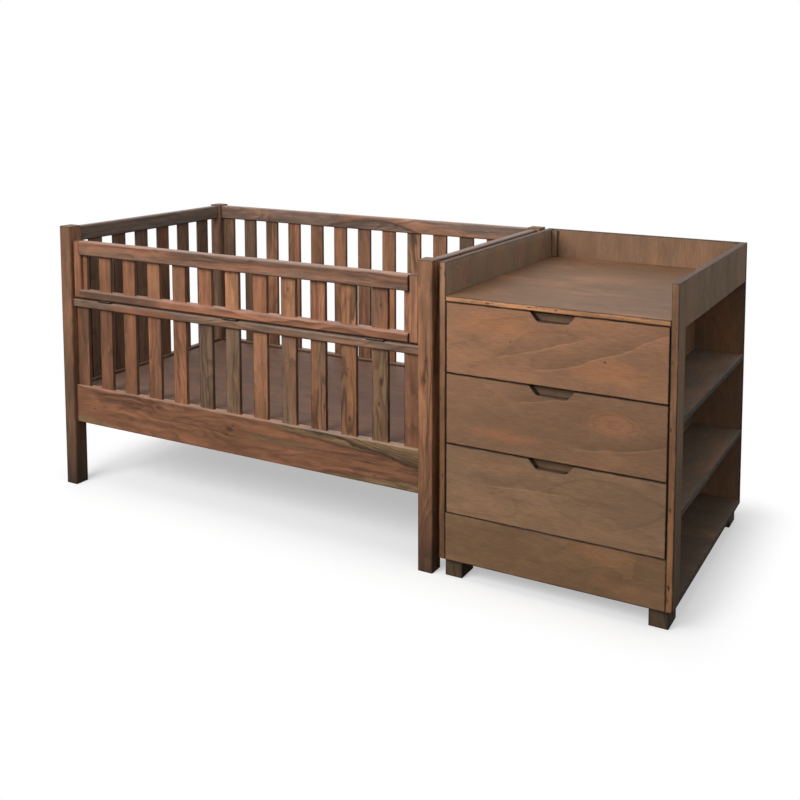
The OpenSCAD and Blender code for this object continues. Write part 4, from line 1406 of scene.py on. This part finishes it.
@dataclass
class Studio:
    """The pale floor, the white backdrop, the lamps and the camera.

    The floor keeps the object's shadow near the footprint, whose half sizes are given, and turns white
    within the fade beyond it. The camera's turns are in degrees. Its focal length, and how far the
    photograph is framed off its centre, are in the photograph's own pixels.
    """

    eye: tuple[float, float, float] = (1.77929, -2.79982, 1.39921)
    turn: float = 25.91
    pitch: float = -4.95
    roll: float = 0.42
    focal: float = 989.41
    frame_size: float = 800.0
    centre: tuple[float, float] = (103.7, 223.18)
    sensor: float = 36.0
    ambient: float = 0.52
    haze: float = 0.36
    floor_size: float = 60.0
    footprint: tuple[float, float] = (1.1, 0.4)
    fade: tuple[float, float] = (-0.05, 0.20)
    floor_noise: Noise = Noise(3.0, 3.0)
    pale: tuple[Tint, Tint] = (Tint(250, 250, 250), Tint(253, 253, 253))
    dull: Tint = Tint(92, 88, 84)
    lamps: tuple[Lamp, ...] = (Lamp("front_left_lamp", (-1.0, -3.0, 2.6), (0.1, 0.0, 0.7), 2.6, 1.6, 118.0),
                               Lamp("overhead_lamp", (0.2, -0.6, 3.0), (0.2, 0.0, 0.6), 2.8, 1.2, 14.0))

    def build(self) -> None:
        """Sets up the whole studio."""
        self.floor()
        self.backdrop()
        for lamp in self.lamps:
            lamp.hang()
        self.camera()

    def floor(self) -> None:
        """Lays a plain pale floor that keeps the object's shadow and joins the white backdrop."""
        mesh = bmesh.new()
        bmesh.ops.create_grid(mesh, x_segments=2, y_segments=2, size=self.floor_size / 2)
        data = stored(mesh, "studio_floor")
        floor = placed("studio_floor", data)
        data.materials.append(self.floor_material())

    def floor_material(self) -> bpy.types.Material:
        """Writes the floor's material.

        Returns:
            The material: pale to the eye, white far off and dull as a source of light.
        """
        material, nodes = new_material("studio floor")
        x, y, z = nodes.coordinates("Object")
        out_x, out_y = ((abs(p) - half).most(0.0) for p, half in zip((x, y), self.footprint))
        off = (out_x * out_x + out_y * out_y) ** 0.5
        far = off.rise(*self.fade) * (1.0 - self.haze) + self.haze
        seen = nodes.out(nodes.add("ShaderNodeLightPath", {}, {}), "Is Camera Ray")
        colour = nodes.mix(self.floor_noise.at(Spot(nodes, x, y, z)), *self.pale)
        pale = nodes.shader("ShaderNodeBsdfDiffuse", {"Color": colour})
        dull = nodes.shader("ShaderNodeBsdfDiffuse", {"Color": self.dull})
        white = nodes.shader("ShaderNodeEmission", {"Color": WHITE, "Strength": 1.0})
        surface = nodes.blend(seen, dull, nodes.blend(far, pale, white))
        nodes.add("ShaderNodeOutputMaterial", {}, {"Surface": surface})
        return material

    def backdrop(self) -> None:
        """Makes the world white to the eye and in reflections, and softer as light."""
        world = bpy.data.worlds.new("studio backdrop")
        bpy.context.scene.world = world
        world.use_nodes = True
        nodes = Nodes(world.node_tree)
        path = nodes.add("ShaderNodeLightPath", {}, {})
        seen = nodes.out(path, "Is Camera Ray").most(nodes.out(path, "Is Glossy Ray"))
        seen = seen.most(nodes.out(path, "Is Transmission Ray"))
        soft = nodes.shader("ShaderNodeBackground", {"Color": WHITE, "Strength": self.ambient})
        bright = nodes.shader("ShaderNodeBackground", {"Color": WHITE, "Strength": 1.0})
        nodes.add("ShaderNodeOutputWorld", {}, {"Surface": nodes.blend(seen, soft, bright)})

    def camera(self) -> None:
        """Stands the camera where the photograph was taken from."""
        data = bpy.data.cameras.new("photo_camera")
        data.sensor_width = self.sensor
        data.lens = self.sensor * self.focal / self.frame_size
        data.shift_x, data.shift_y = (-part / self.frame_size for part in self.centre)
        camera = placed("photo_camera", data)
        pose = Matrix.Translation(self.eye)
        for degrees, axis in ((self.turn, "Z"), (90.0, "X"), (self.pitch, "X"), (self.roll, "Z")):
            pose = pose @ Matrix.Rotation(math.radians(degrees), 4, axis)
        camera.matrix_world = pose
        bpy.context.scene.camera = camera


def slat_rows() -> list[SlatRow]:
    """Lists the rows of slats.

    Returns:
        The five rows, with the timber of each slat from left to right, or from front to back.
    """
    a, h, r, u = Timber.AMBER, Timber.HONEY, Timber.RUSSET, Timber.UMBER
    o, d, s = Timber.OLIVE, Timber.DUSK, Timber.SPLIT
    return [
        SlatRow(node="front_slats", seed=31, timbers=(u, u, r, r, r, d, o, a, o, s, h, s, r),
                tones=(1.05, 0.85, 0.9, 1.0, 1.1, 1.0, 0.95, 1.0, 1.05, 0.9, 0.9, 0.98, 0.95),
                knots=(Knot(0.435, -0.002, 0.004), Knot(0.410, 0.092, 0.006), Knot(0.562, 0.088, 0.003),
                       Knot(0.540, 0.205, 0.007), Knot(0.470, 0.198, 0.005), Knot(0.550, -0.145, 0.003))),
        SlatRow(node="gate_slats", spaced_on="front_slats", body=Body.GATE,
                timbers=(r, r, r, a, r, r, a, r, a, r, h, r, r),
                tones=(1.3, 0.95, 0.95, 0.8, 1.1, 1.2, 1.35, 1.2, 0.90, 1.24, 1.18, 1.12, 1.25),
                knots=(Knot(0.785, -0.135, 0.005), Knot(0.770, 0.205, 0.004))),
        SlatRow(node="back_slats", timbers=(o, o, u, r, u, a, r, a, s, a, o, r, r),
                tones=(0.85, 0.7, 1.45, 1.2, 1.15, 0.9, 1.1, 1.05, 1.2, 0.8, 0.75, 0.75, 1.25)),
        SlatRow(node="left_slats", axis=Grain.Y, timbers=(d, d, d, u, d, d),
                tones=(1.06, 1.0, 1.12, 1.0, 1.06, 1.0)),
        SlatRow(node="right_slats", seed=31, axis=Grain.Y, timbers=(r, u, r, o, u, r), tones=(1.0,) * 6),
    ]


def drawers() -> list[Drawer]:
    """Lists the drawers.

    Returns:
        The three drawers, from the top down, with the figure of each front.
    """
    return [
        Drawer(body=Body.DRAWER_1, number=1, face=Tint(158, 115, 85),
               knots=(Knot(0.637, 0.715, 0.0022), Knot(0.912, 0.694, 0.003), Knot(0.803, 0.764, 0.0018)),
               seams=(Border(0.87, 0.694, 0.356, bend=0.2, start=0.64),
                      Border(0.72, 0.703, 0.30, start=0.56, stop=0.90)),
               patches=(Patch(0.92, 0.665, 0.13, 0.035), Patch(0.60, 0.760, 0.16, 0.04))),
        Drawer(body=Body.DRAWER_2, number=2, face=Tint(143, 107, 80), warm=Tint(162, 108, 77),
               seams=(Border(0.95, 0.457, 0.17, bend=0.9, start=0.78),
                      Border(0.75, 0.566, 0.17, start=0.62, stop=0.88)),
               patches=(Patch(0.935, 0.531, 0.085, 0.038, 0.9), Patch(0.62, 0.45, 0.13, 0.02))),
        Drawer(body=Body.DRAWER_3, number=3, face=Tint(144, 112, 85), warm=Tint(154, 114, 82), figure=0.6,
               knots=(Knot(0.596, 0.293, 0.0016),), patches=(Patch(0.6, 0.36, 0.15, 0.03),),
               seams=(Border(0.62, 0.300, 0.02, start=0.50, stop=0.86),)),
    ]


def main() -> None:
    """Builds the furniture and its studio, and reports each part."""
    logging.basicConfig(level=logging.INFO, format="%(message)s")
    parts: list[SubAssembly] = [CribPosts(), CribRails(), *slat_rows(), MattressDeck(), DropGate(),
                                Fittings(), DresserCarcass(), *drawers()]
    for part in parts:
        part.build()
        part.report()
    Studio().build()
    bpy.context.scene.view_settings.view_transform = "Standard"


if __name__ == "__main__":
    main()
